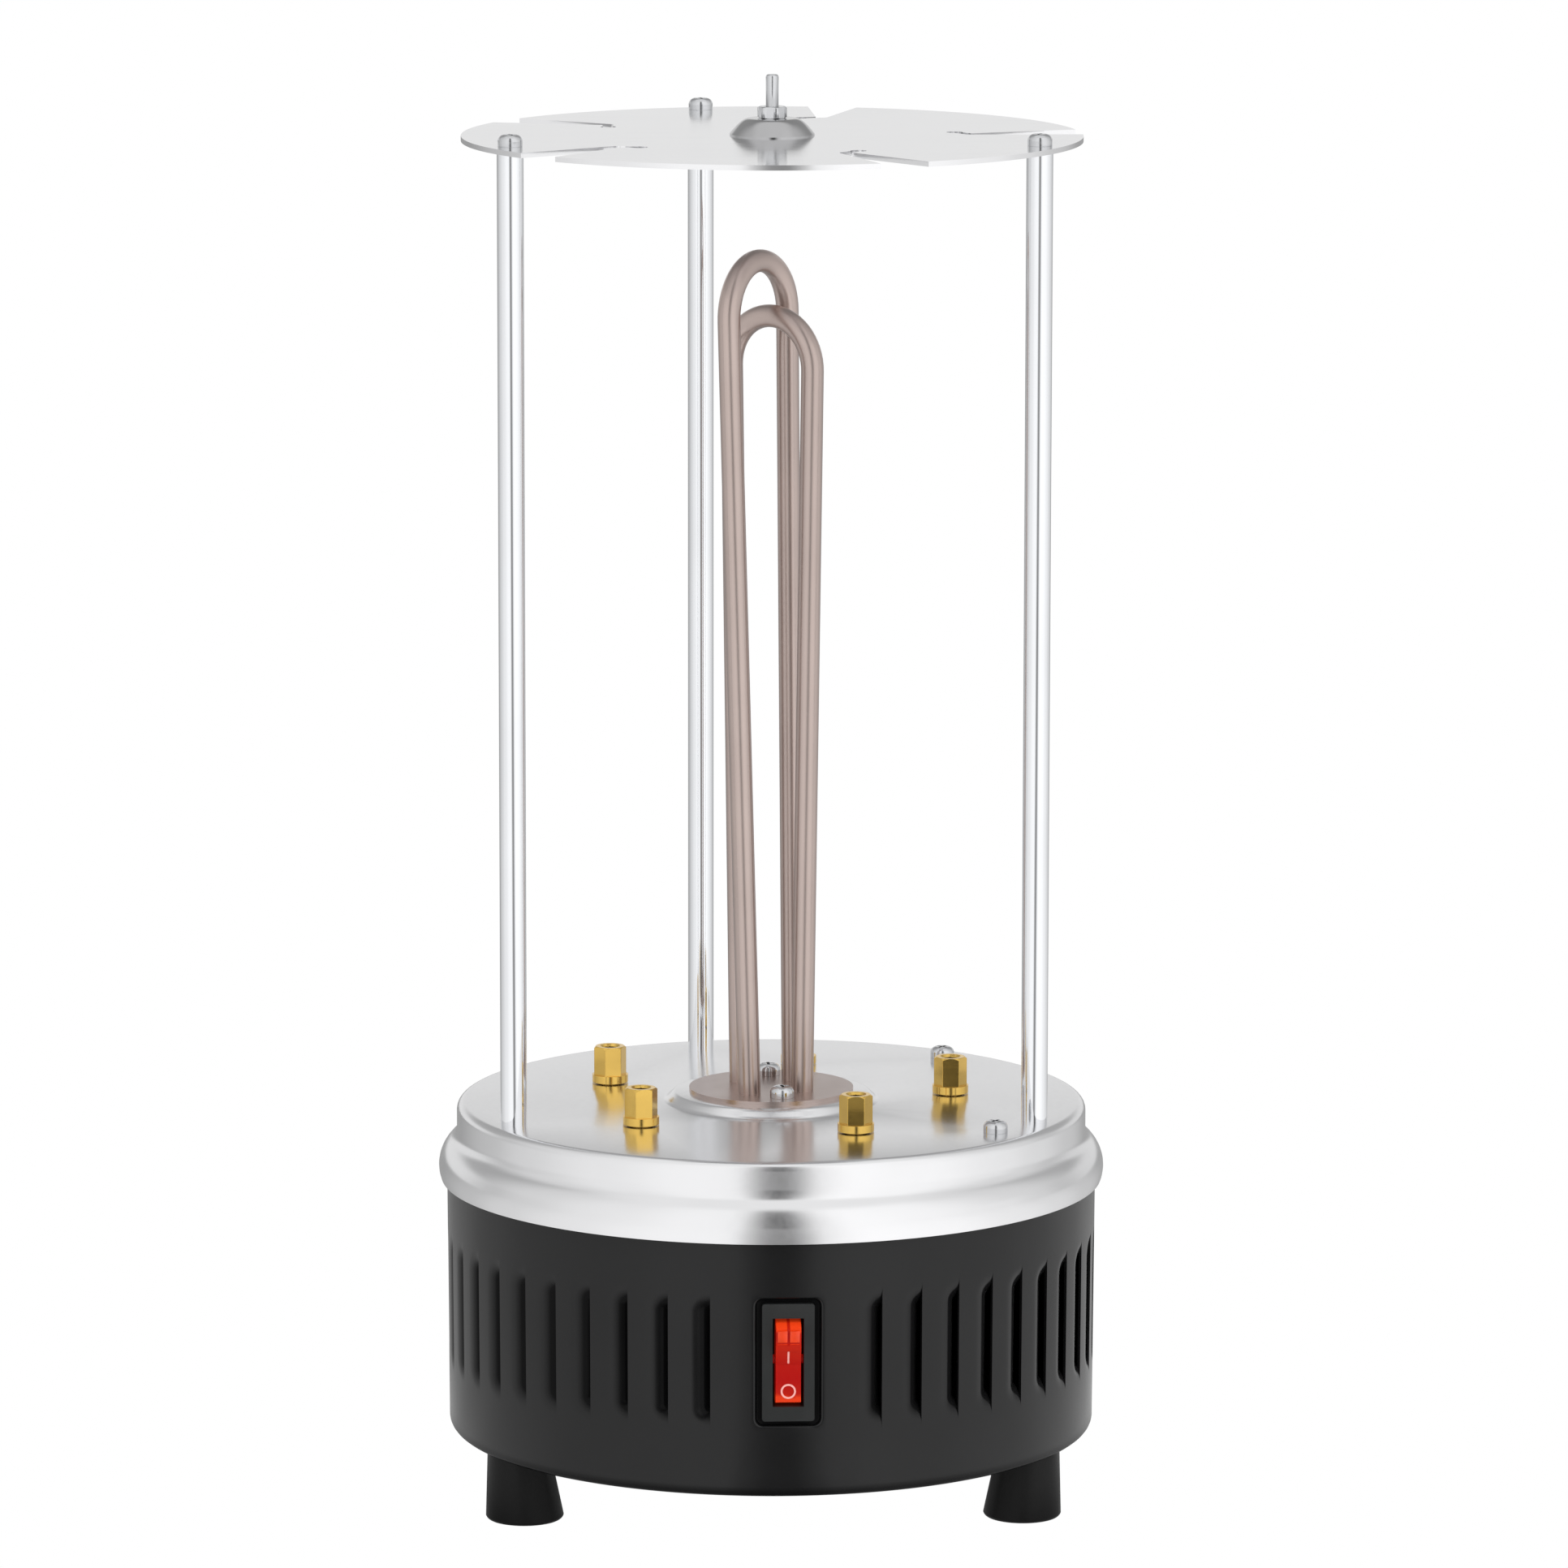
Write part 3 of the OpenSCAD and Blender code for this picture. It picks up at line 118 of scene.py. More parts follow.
def new_piece(name, bm, slot, body, *stands_for, smooth=35.0, look=None):
    """Turns a bmesh into a piece that rides on a body, in its slot's finish or another look."""
    mesh = bpy.data.meshes.new(name)
    bm.to_mesh(mesh)
    bm.free()
    piece = bpy.data.objects.new(name, mesh)
    bpy.context.scene.collection.objects.link(piece)
    mesh.materials.append(finish(look or slot))
    shade(mesh, smooth)
    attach(piece, body)
    if stands_for:
        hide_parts(*stands_for)


def shade(mesh, angle):
    """Smooth faces, with edges sharper than the angle left sharp."""
    mesh.polygons.foreach_set("use_smooth", [True] * len(mesh.polygons))
    mesh.set_sharp_from_angle(angle=math.radians(angle))


def outward(bm):
    """Joins doubled points and points every face outwards."""
    bmesh.ops.remove_doubles(bm, verts=bm.verts, dist=0.002 * MM)
    bmesh.ops.recalc_face_normals(bm, faces=bm.faces)


def merged_copy(node):
    """A merged copy of a node's mesh, in the part's own frame."""
    source = frame["nodes"][node]
    bm = bmesh.new()
    bm.from_mesh(source.data)
    bmesh.ops.transform(bm, matrix=source.matrix_world, space=Matrix(), verts=bm.verts)
    outward(bm)
    return bm


def drawn_on(bm, edges):
    """Draws an edge loop on by one step, and returns its new points and the new loop."""
    if not edges:
        raise RuntimeError("there is no open edge to draw on")
    geom = bmesh.ops.extrude_edge_only(bm, edges=edges)["geom"]
    fresh = {v for v in geom if isinstance(v, bmesh.types.BMVert)}
    return fresh, [e for e in geom
                   if isinstance(e, bmesh.types.BMEdge) and all(v in fresh for v in e.verts)]


def swept(bm, edges, profile):
    """Draws a round edge loop on through points of a profile, and returns the last loop."""
    for radius, height in profile:
        fresh, edges = drawn_on(bm, edges)
        for v in fresh:
            flat = Vector((v.co.x, v.co.y, 0)).normalized() * radius
            v.co = (flat.x, flat.y, height)
    return edges


def open_edges(bm, level, near, least_r=0.0):
    """The open edges at a height, outside a radius."""
    return [e for e in bm.edges
            if e.is_boundary and all(abs(v.co.z - level) < near for v in e.verts)
            and e.verts[0].co.xy.length > least_r]


def rounded(bm, edges, radius, segments):
    """Rounds edges."""
    bmesh.ops.bevel(bm, geom=edges, offset=radius, segments=segments, profile=0.5,
                    affect="EDGES", material=-1)


def add_block(bm, size, middle=(0, 0, 0)):
    """Adds a block of a size at a place."""
    matrix = Matrix.Translation(middle) @ Matrix.Diagonal((*size, 1))
    bmesh.ops.create_cube(bm, size=1.0, matrix=matrix)


# Helpers for materials


def finish(slot):
    """The finish that was made under a slot's name."""
    return bpy.data.materials[FINISH_PREFIX + slot]


def bare_finish(slot):
    """A new material for a slot, with its tree and its shader."""
    material = bpy.data.materials.new(FINISH_PREFIX + slot)
    material.use_nodes = True
    return material.node_tree, material.node_tree.nodes["Principled BSDF"]


def add(tree, kind, inputs=(), **settings):
    """Adds a shader node; inputs are sockets to link or plain values."""
    made = tree.nodes.new("ShaderNode" + kind)
    for key, value in settings.items():
        setattr(made, key, value)
    for key, value in dict(inputs).items():
        if isinstance(value, bpy.types.NodeSocket):
            tree.links.new(value, made.inputs[key])
        else:
            made.inputs[key].default_value = value
    return made


def maths(tree, operation, *values):
    """The result of a Math node."""
    return add(tree, "Math", dict(enumerate(values)), operation=operation).outputs[0]


def own_place(tree):
    """The piece's own coordinates."""
    return add(tree, "TexCoord").outputs["Object"]


def parts_of(tree, vector):
    """The three parts of a vector."""
    return add(tree, "SeparateXYZ", {0: vector}).outputs


def grain(tree, scale, stretch=(1, 1, 1), detail=4.0):
    """Noise on the piece's own coordinates, drawn out by stretch."""
    moved = add(tree, "Mapping", {"Vector": own_place(tree), "Scale": stretch}).outputs[0]
    return add(tree, "TexNoise", {"Vector": moved, "Scale": scale, "Detail": detail}).outputs[0]


def spread(tree, value, low, high, start=0.3, end=0.7):
    """Maps a value from start to end, a noise's usual reach, to a range from low to high."""
    ends = {"From Min": start, "From Max": end, "To Min": low, "To Max": high}
    return add(tree, "MapRange", {"Value": value, **ends}).outputs[0]


def blended(tree, share, first, second):
    """Mixes two values by a share."""
    return add(tree, "Mix", {MIX_SHARE: share, MIX_A: first, MIX_B: second}).outputs[0]


def tones(tree, share, first, second):
    """Mixes two colours by a share."""
    sockets = {MIX_SHARE: share, MIX_COLOUR_A: (*first, 1), MIX_COLOUR_B: (*second, 1)}
    return add(tree, "Mix", sockets, data_type="RGBA").outputs[MIX_COLOUR_RESULT]


def shift(base, by):
    """A colour made lighter or darker."""
    return tuple(min(1.0, c * by) for c in base)


def grey_ramp(tree, value, stops, interpolation="LINEAR"):
    """A level that follows stops of (place, level) along a value from 0 to 1."""
    ramp = add(tree, "ValToRGB", {0: value})
    ramp.color_ramp.interpolation = interpolation
    elements = ramp.color_ramp.elements
    while len(elements) < len(stops):
        elements.new(0.5)
    for element, (place, level) in zip(elements, stops):
        element.position = place
        element.color = (level, level, level, 1)
    return ramp.outputs[0]


def round_studio(tree, place, levels):
    """A brightness by the angle of place about the upright axis, 0 towards the front."""
    right, back, _ = parts_of(tree, place)
    front = maths(tree, "MULTIPLY", back, -1.0)
    angle = maths(tree, "ARCTAN2", right, front)
    share = spread(tree, angle, 0.0, 1.0, start=-math.pi, end=math.pi)
    brightest = max(level for _, level in levels)
    stops = [((turn + 180) / 360, level / brightest) for turn, level in levels]
    return maths(tree, "MULTIPLY", grey_ramp(tree, share, stops, "EASE"), brightest)


def surface(slot, dark, light, rough, metallic, fine, clouds, relief, edge=0.0, **sockets):
    """A finish with clouded colour, uneven gloss and a fine grain raised by relief.

    rough is the gloss's two ends, fine is (scale, stretch), clouds is a scale, relief is
    (strength, depth), and edge is a radius that softens sharp edges' shine.
    """
    tree, shader = bare_finish(slot)
    cloud = grain(tree, clouds, detail=3.0)
    fine_grain = grain(tree, *fine)
    both = maths(tree, "ADD", cloud, fine_grain)
    base = tones(tree, spread(tree, cloud, 0.0, 1.0), dark, light)
    tree.links.new(base, shader.inputs["Base Color"])
    tree.links.new(spread(tree, both, *rough, start=0.75, end=1.25), shader.inputs["Roughness"])
    strength, depth = relief
    bump = add(tree, "Bump", {"Strength": strength, "Distance": depth, "Height": fine_grain})
    if edge:
        soft = add(tree, "Bevel", {"Radius": edge}, samples=6).outputs[0]
        tree.links.new(soft, bump.inputs["Normal"])
    tree.links.new(bump.outputs[0], shader.inputs["Normal"])
    shader.inputs["Metallic"].default_value = metallic
    for key, value in sockets.items():
        shader.inputs[key.replace("_", " ")].default_value = value
    return tree, shader


# Sizes and colours


def colour(name, description, value):
    return FloatVectorProperty(name=name, description=description, subtype="COLOR", size=3,
                               min=0, max=1, default=value)


def length(name, description, value):
    return FloatProperty(name=name, description=description, unit="LENGTH", subtype="DISTANCE",
                         precision=5, default=value)


class GrillSizes(PropertyGroup):
    """Sizes of the shapes that are made here."""

    louvre_places: IntProperty(
        name="Louvre places", description="Places for louvres round the drum", default=48)
    louvre_gaps: IntProperty(
        name="Plain places", description="Places left plain at the switch", default=3)
    louvre_width: length("Louvre width", "From the bent side to the open edge", 6.6 * MM)
    louvre_height: length("Louvre height", "Height of a louvre", 39.5 * MM)
    louvre_depth: length("Louvre depth", "How far the open edge is pressed in", 3.2 * MM)
    sheet: length("Sheet", "Thickness of the drum's sheet", 0.8 * MM)


class GrillColours(PropertyGroup):
    """Colours of the finishes."""

    enamel: colour("Enamel", "The drum's satin black", (0.0052, 0.0052, 0.0054))
    sheet_metal: colour("Sheet metal", "Polished pan and plate", (0.80, 0.80, 0.81))
    bright: colour("Bright metal", "Posts and screws", (0.83, 0.84, 0.86))
    sheath: colour("Heater sheath", "Heat-tinted tube", (0.53, 0.435, 0.40))
    brass: colour("Brass", "Turned sockets", (0.81, 0.53, 0.13))
    rubber: colour("Feet", "Moulded black feet", (0.005, 0.005, 0.005))
    rocker: colour("Rocker", "Translucent red", (0.31, 0.002, 0.001))
    # Painted glow: the colour the rocker glows with at both ends, also the lens panes' glow
    rocker_painted_glow: colour("Rocker ends", "Where the rocker is brightest", (0.66, 0.042, 0.006))
    marking: colour("Marks", "Marks on the rocker", (0.90, 0.40, 0.36))


class PieceOperator:
    """Shared by the operators: runs make() and reports that it is finished."""

    bl_options = {"REGISTER"}

    def execute(self, context):
        self.make(context.scene.grill_sizes, context.scene.grill_colours)
        return {"FINISHED"}


class GRILL_OT_finishes(PieceOperator, Operator):
    """Make every finish and give it to the frame's nodes"""

    bl_idname = "grill.finishes"
    bl_label = "Finishes"

    # The drum's shine on its side, the shine with painted shade in its hollows, and the depths
    # between which it changes
    drum_shine, hollow_shine = 0.31, 0.06
    painted_shade_depths = (0.15 * MM, 0.9 * MM)
    # Share of the rocker's painted glow colour, by share of its height
    rocker_painted_glow_levels = ((0.0, 0.8), (0.09, 0.7), (0.13, 0.1), (0.3, 0.0), (0.5, 0.05), (0.65, 0.2),
                     (0.86, 0.2), (0.89, 0.95), (1.0, 0.9))

    def make(self, sizes, colours):
        even, upright = (1, 1, 1), (1, 1, 0.04)
        self.drum(colours.enamel)
        metal = colours.sheet_metal
        surface("pan_steel", shift(metal, 0.98), shift(metal, 1.02), (0.17, 0.21), 1.0,
                (700, even), 30, (0.02, 0.01 * MM))
        surface("plate_steel", shift(metal, 1.0), shift(metal, 1.04), (0.10, 0.15), 1.0,
                (500, (0.05, 1, 1)), 25, (0.03, 0.02 * MM))
        bright = colours.bright
        surface("post_chrome", shift(bright, 0.98), shift(bright, 1.02), (0.06, 0.11), 1.0,
                (900, upright), 30, (0.03, 0.01 * MM))
        surface("zinc_steel", shift(bright, 0.70), shift(bright, 0.80), (0.10, 0.17), 1.0,
                (1500, even), 120, (0.05, 0.02 * MM), edge=0.2 * MM)
        sheath = colours.sheath
        surface("heater_sheath", shift(sheath, 0.92), shift(sheath, 1.04), (0.28, 0.33), 1.0,
                (180, (1, 1, 0.02)), 25, (0.008, 0.02 * MM))
        brass = colours.brass
        surface("socket_brass", shift(brass, 0.90), shift(brass, 1.04), (0.10, 0.17), 1.0,
                (1800, (0.1, 0.1, 1)), 90, (0.06, 0.02 * MM), edge=0.25 * MM)
        surface("pinion_brass", shift(brass, 0.8), shift(brass, 0.95), (0.22, 0.32), 1.0,
                (1500, even), 90, (0.08, 0.02 * MM))
        surface("bush_bronze", (0.40, 0.25, 0.12), (0.50, 0.33, 0.17), (0.4, 0.55), 1.0,
                (2500, even), 200, (0.3, 0.03 * MM))
        surface("gear_plastic", (0.78, 0.75, 0.66), (0.84, 0.81, 0.73), (0.38, 0.5), 0.0,
                (900, even), 60, (0.08, 0.03 * MM), Subsurface_Weight=0.1,
                Subsurface_Scale=1 * MM)
        surface("spring_steel", (0.035, 0.036, 0.04), (0.06, 0.062, 0.07), (0.3, 0.42), 1.0,
                (1500, even), 150, (0.1, 0.02 * MM))
        surface("carrier_steel", (0.5, 0.51, 0.53), (0.62, 0.63, 0.64), (0.28, 0.4), 1.0,
                (600, (0.1, 1, 1)), 90, (0.08, 0.03 * MM))
        surface("motor_steel", (0.45, 0.46, 0.48), (0.55, 0.56, 0.57), (0.3, 0.42), 1.0,
                (900, even), 60, (0.08, 0.03 * MM))
        surface("ceramic", (0.80, 0.76, 0.68), (0.87, 0.84, 0.78), (0.55, 0.7), 0.0,
                (1500, even), 150, (0.2, 0.05 * MM))
        rubber = colours.rubber
        surface("foot_rubber", shift(rubber, 0.8), shift(rubber, 1.3), (0.30, 0.42), 0.0,
                (1600, even), 60, (0.12, 0.04 * MM), Specular_IOR_Level=0.2)
        surface("switch_black", (0.013, 0.014, 0.014), (0.017, 0.018, 0.018), (0.42, 0.5), 0.0,
                (3000, even), 150, (0.15, 0.03 * MM), Specular_IOR_Level=0.35)
        surface("block_white", (0.74, 0.73, 0.69), (0.80, 0.79, 0.75), (0.45, 0.55), 0.0,
                (1200, even), 90, (0.1, 0.03 * MM))
        self.rocker(colours.rocker, colours.rocker_painted_glow)
        self.marking(colours.marking)
        self.lens(colours.rocker_painted_glow)
        for node in frame["record"]["subparts"]:
            frame["nodes"][node["node"]].data.materials[0] = finish(node["material_slot"])

    def drum(self, enamel):
        """Satin black, with painted shade in the hollows: the shine is lowered where the surface
        lies deeper than the side.
        """
        tree, shader = surface("black_enamel", shift(enamel, 0.85), shift(enamel, 1.2),
                               (0.15, 0.21), 0.0, (1400, (1, 1, 1)), 40, (0.04, 0.02 * MM))
        low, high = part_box("housing")
        place = own_place(tree)
        height = parts_of(tree, place)[2]
        flat = add(tree, "VectorMath", {0: place, 1: (1, 1, 0)}, operation="MULTIPLY").outputs[0]
        radius = add(tree, "VectorMath", {0: flat}, operation="LENGTH").outputs["Value"]
        side = spread(tree, height, high.x - DRUM_TAPER, high.x, start=low.z, end=high.z)
        depth = maths(tree, "SUBTRACT", side, radius)
        first, last = self.painted_shade_depths
        # Painted shade: the shine falls from the side's level to the hollows' level with depth
        # below the drum's side
        shine = spread(tree, depth, self.drum_shine, self.hollow_shine, start=first, end=last)
        tree.links.new(shine, shader.inputs["Specular IOR Level"])

    def rocker(self, red, painted_glow_red):
        """Translucent red with a painted glow, brighter at both ends, with a dark line between
        its upper panes.
        """
        tree, shader = bare_finish("rocker_red")
        across, _, height = parts_of(tree, own_place(tree))
        low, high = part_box("switch_rocker")
        share = spread(tree, height, 0.0, 1.0, start=low.z, end=high.z)
        blur = spread(tree, grain(tree, 400), -0.02, 0.02)
        ramp = grey_ramp(tree, maths(tree, "ADD", share, blur), self.rocker_painted_glow_levels)
        side = maths(tree, "ABSOLUTE", across)
        gap = spread(tree, side, 0.15, 1.0, start=0.3 * MM, end=0.5 * MM)
        rim = spread(tree, side, 1.0, 0.25, start=3.1 * MM, end=3.5 * MM)
        upper = spread(tree, share, 0.0, 1.0, start=0.7, end=0.75)
        panes = blended(tree, upper, 1.0, maths(tree, "MULTIPLY", gap, rim))
        base = tones(tree, maths(tree, "MULTIPLY", ramp, panes), red, painted_glow_red)
        tree.links.new(base, shader.inputs["Base Color"])
        # Painted glow: the base colour is also given out as light
        tree.links.new(base, shader.inputs["Emission Color"])
        gloss = spread(tree, grain(tree, 900), 0.18, 0.26)
        tree.links.new(gloss, shader.inputs["Roughness"])
        shader.inputs["Emission Strength"].default_value = 0.3
        shader.inputs["Specular IOR Level"].default_value = 0.2

    def marking(self, light):
        """Printed marks."""
        tree, shader = bare_finish("marking")
        clouds = spread(tree, grain(tree, 2000), 0.0, 1.0)
        base = tones(tree, clouds, light, shift(light, 0.93))
        tree.links.new(base, shader.inputs["Base Color"])
        shader.inputs["Roughness"].default_value = 0.4

    def lens(self, light):
        """Clear red panes with a painted glow, as if lit from within."""
        tree, shader = bare_finish("lens")
        base = tones(tree, spread(tree, grain(tree, 300), 0.0, 1.0), shift(light, 0.8), light)
        tree.links.new(base, shader.inputs["Base Color"])
        # Painted glow: the panes give out their colour as light
        tree.links.new(base, shader.inputs["Emission Color"])
        shader.inputs["Emission Strength"].default_value = 0.35
        shader.inputs["Roughness"].default_value = 0.2


class GRILL_OT_drum(PieceOperator, Operator):
    """Press the drum with its louvres and the recess for the switch"""

    bl_idname = "grill.drum"
    bl_label = "Drum"

    bend = 3.0 * MM
    floor_rings = (70 * MM, 35 * MM)
    row_gap = 1.5 * MM
    louvre_middle = 57.5 * MM
    louvre_first_edge = 1.5
    recess = (17.5 * MM, 34.8 * MM)
    recess_middle = 57.1 * MM
    recess_floor = -87.573 * MM
    recess_depth, recess_corner = 1.9 * MM, 2.0 * MM
    recess_edge, recess_foot = 0.9 * MM, 0.6 * MM
    cutout, cutout_corner = (12.8 * MM, 27.4 * MM), 0.5 * MM
    flange_lap = 1.6 * MM

    def make(self, sizes, colours):
        low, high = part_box("housing")
        self.bottom, self.top, self.top_r = low.z, high.z, high.x
        self.sizes = sizes
        self.mid_r = self.radius(self.louvre_middle)
        self.pitch = 2 * math.pi * self.mid_r / sizes.louvre_places
        first = (sizes.louvre_gaps + 1) // 2
        edge = math.radians(self.louvre_first_edge) * self.mid_r
        self.start = first * self.pitch + edge - sizes.louvre_width
        bm = bmesh.new()
        self.add_louvres(bm, sizes.louvre_places - sizes.louvre_gaps)
        self.add_front(bm, self.start - sizes.louvre_gaps * self.pitch, self.start)
        outward(bm)
        self.add_bottom(bm)
        self.cut_cable_hole(bm)
        outward(bm)
        bmesh.ops.solidify(bm, geom=bm.faces[:], thickness=sizes.sheet)
        new_piece("drum_shell", bm, "black_enamel", "base", "housing", smooth=40)

    def radius(self, z):
        """Outer radius of the drum's side at a height."""
        return self.top_r - DRUM_TAPER * (self.top - z) / (self.top - self.bottom)

    def on_drum(self, u, z, depth=0.0):
        """A point at u along the drum's side from the switch's middle, pressed in by depth."""
        angle = -90 + math.degrees(u / self.mid_r)
        return ring_point(self.radius(z) - depth, angle, z)

    def rows(self):
        """Heights of the rows of points on the drum's side."""
        sizes = self.sizes
        foot = self.louvre_middle - sizes.louvre_height / 2
        head = self.louvre_middle + sizes.louvre_height / 2
        lower = between(foot, foot + sizes.louvre_width, 10)
        upper = between(head, head - sizes.louvre_width, 10)[::-1]
        middle = between(lower[-1], upper[0], 4)[1:-1]
        below = [self.bottom + self.bend + self.row_gap * k for k in range(10)]
        above = between(upper[-1], self.top, 5)[1:]
        return [z for z in below if z < foot - 0.3 * MM] + lower + middle + upper + above

    def pressed(self, u, z):
        """Depth of a louvre at u from its bent side."""
        wide, deep = self.sizes.louvre_width, self.sizes.louvre_depth
        straight = self.sizes.louvre_height / 2 - wide
        past_end = max(0.0, abs(z - self.louvre_middle) - straight)
        share = 1 - math.hypot(wide - u, past_end) / wide
        if share <= 0 or u > wide:
            return 0.0
        bend_r = (wide**2 + deep**2) / (2 * deep)
        return bend_r - math.sqrt(bend_r**2 - (share * wide) ** 2)

    def add_louvres(self, bm, count):
        """One sector with its louvre, repeated round the drum."""
        wide, tall = self.sizes.louvre_width, self.sizes.louvre_height
        columns = between(0.0, wide, 9) + between(wide, self.pitch, 4)[1:]
        rows = self.rows()
        across, up = len(columns) - 1, len(rows) - 1
        grid = bmesh.ops.create_grid(bm, x_segments=across, y_segments=up, size=0.5)
        for v in grid["verts"]:
            v.co = (columns[round((v.co.x + 0.5) * across)], rows[round((v.co.y + 0.5) * up)], 0)
        near = 0.001 * MM

        def on_slit(v):
            reach = abs(v.co.y - self.louvre_middle)
            return abs(v.co.x - wide) < near and reach < tall / 2 + near

        slit = [e for e in bm.edges if all(on_slit(v) for v in e.verts)]
        bmesh.ops.split_edges(bm, edges=slit)
        for v in bm.verts:
            blade = all(f.calc_center_median().x < wide for f in v.link_faces)
            inside = v.co.x < wide - near or blade
            v.co.z = self.pressed(v.co.x, v.co.y) if inside else 0.0
        for v in bm.verts:
            v.co = self.on_drum(self.start + v.co.x, v.co.y, v.co.z)
        turn = math.radians(360 / self.sizes.louvre_places)
        bmesh.ops.spin(bm, geom=bm.verts[:] + bm.edges[:] + bm.faces[:], cent=(0, 0, 0),
                       axis=(0, 0, 1), angle=turn * (count - 1), steps=count - 1,
                       use_duplicate=True)

    def loop(self, left, right, low, high, corner):
        """Points round an upright rectangle with rounded corners, always in the same order."""
        corner_steps, side_steps = 6, (10, 16)
        inner = ((right - corner, high - corner), (left + corner, high - corner),
                 (left + corner, low + corner), (right - corner, low + corner))
        points = []
        for k, (x, z) in enumerate(inner):
            for angle in between(90 * k, 90 * (k + 1), corner_steps):
                turn = math.radians(angle)
                points.append((x + corner * math.cos(turn), z + corner * math.sin(turn)))
            here, ahead = points[-1], inner[(k + 1) % 4]
            turn = math.radians(90 * (k + 1))
            goal = (ahead[0] + corner * math.cos(turn), ahead[1] + corner * math.sin(turn))
            steps = side_steps[k % 2]
            side = zip(between(here[0], goal[0], steps), between(here[1], goal[1], steps))
            points += list(side)[1:-1]
        return points

    def add_front(self, bm, left, right):
        """The plain front with the switch's recess, in loops from its edge to the cut-out."""
        mid = self.recess_middle
        wide, tall = self.recess
        edge, foot, depth = self.recess_edge, self.recess_foot, self.recess_depth
        outline = self.loop(left, right, self.bottom + self.bend, self.top, 0.0)

        def rim(offset):
            x, z = wide / 2 + offset, tall / 2 + offset
            corner = max(0.1 * MM, self.recess_corner + offset)
            return self.loop(-x, x, mid - z, mid + z, corner)

        outer = rim(edge)
        loops = [(outline, 0.0)]
        for share in (0.25, 0.5, 0.75, 0.92):
            loops.append(([(a[0] + (b[0] - a[0]) * share, a[1] + (b[1] - a[1]) * share)
                           for a, b in zip(outline, outer)], 0.0))
        for turn in quarter_turn(6):
            sunk = edge * (1 - math.cos(turn)) / depth
            loops.append((rim(edge * (1 - math.sin(turn))), sunk))
        for turn in quarter_turn(4):
            sunk = 1 - foot * (1 - math.sin(turn)) / depth
            loops.append((rim(-foot * (1 - math.cos(turn))), sunk))
        x, z = self.cutout[0] / 2, self.cutout[1] / 2
        loops.append((self.loop(-x, x, mid - z, mid + z, self.cutout_corner), 1.0))

        def place(point, sunk):
            at = self.on_drum(*point)
            return Vector((at.x, at.y + (self.recess_floor - at.y) * sunk, at.z))

        verts = [bm.verts.new(place(p, 0.0)) for p in outline]
        edges = [bm.edges.new((a, b)) for a, b in zip(verts, verts[1:] + verts[:1])]
        for points, sunk in loops[1:]:
            fresh, edges = drawn_on(bm, edges)
            ahead = []
            for old, point in zip(verts, points):
                tied = (e.other_vert(old) for e in old.link_edges)
                new = next(v for v in tied if v in fresh)
                new.co = place(point, sunk)
                ahead.append(new)
            verts = ahead

    def add_bottom(self, bm):
        """Bends the side's lower edge inwards and closes the floor."""
        base_r = self.radius(self.bottom)
        edges = open_edges(bm, self.bottom + self.bend, 0.01 * MM)
        profile = [(base_r - self.bend * (1 - math.cos(turn)),
                    self.bottom + self.bend * (1 - math.sin(turn)))
                   for turn in quarter_turn(6)[1:]]
        profile += [(radius, self.bottom) for radius in self.floor_rings]
        bmesh.ops.holes_fill(bm, edges=swept(bm, edges, profile), sides=0)

    def cut_cable_hole(self, bm):
        """Opens the rear wall under the cable grommet's flange."""
        low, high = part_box("cable_grommet")
        middle = (low.z + high.z) / 2
        hole_r = (high.z - low.z) / 2 - self.flange_lap
        centres = [(f, f.calc_center_median()) for f in bm.faces]
        cut = [f for f, at in centres if at.y > 0 and math.hypot(at.x, at.z - middle) < hole_r]
        bmesh.ops.delete(bm, geom=cut, context="FACES")


class GRILL_OT_pan(PieceOperator, Operator):
    """Draw the pan's side anew, with a soft hollow between its neck and its bead"""

    bl_idname = "grill.pan"
    bl_label = "Pan"

    top, neck_r, bead_r = 111.2 * MM, 87.0 * MM, 92.0 * MM
    wall, edge_r, hollow_r, bead_curve_r = 1.0 * MM, 2.4 * MM, 5.0 * MM, 9.5 * MM
    bead_drop, depth = 17.8 * MM, 21.3 * MM

    def profile(self, inwards):
        """The side from the top's edge to the lip; inwards is 0 outside and the wall inside."""
        edge = (self.neck_r - self.edge_r, self.top - self.edge_r)
        bead = (self.bead_r - self.bead_curve_r, self.top - self.bead_drop)
        hollow_out = self.neck_r + self.hollow_r
        apart = self.bead_curve_r + self.hollow_r
        hollow = (hollow_out, bead[1] + math.sqrt(apart**2 - (hollow_out - bead[0]) ** 2))
        turn = math.degrees(math.atan2(hollow[1] - bead[1], hollow[0] - bead[0]))
        lip = -math.degrees(math.asin((self.depth - self.bead_drop) / self.bead_curve_r))
        return (arc(edge, self.edge_r - inwards, 90, 0, 8)[1:]
                + arc(hollow, self.hollow_r + inwards, 180, 180 + turn, 12)
                + arc(bead, self.bead_curve_r - inwards, turn, lip, 24)[1:])

    def make(self, sizes, colours):
        bm = merged_copy("pan")
        near = 0.02 * MM
        flat_r = self.neck_r - self.edge_r - near

        def on_side(f):
            heights = [v.co.z for v in f.verts]
            return (max(heights) - min(heights) > near
                    and all(v.co.xy.length > flat_r for v in f.verts))

        side = [f for f in bm.faces if on_side(f)]
        bmesh.ops.delete(bm, geom=side, context="FACES")
        ends = []
        for level, inwards in ((self.top, 0.0), (self.top - self.wall, self.wall)):
            ends += swept(bm, open_edges(bm, level, near, flat_r), self.profile(inwards))
        bmesh.ops.bridge_loops(bm, edges=ends)
        outward(bm)
        new_piece("pan_shell", bm, "pan_steel", "base", "pan", smooth=30)


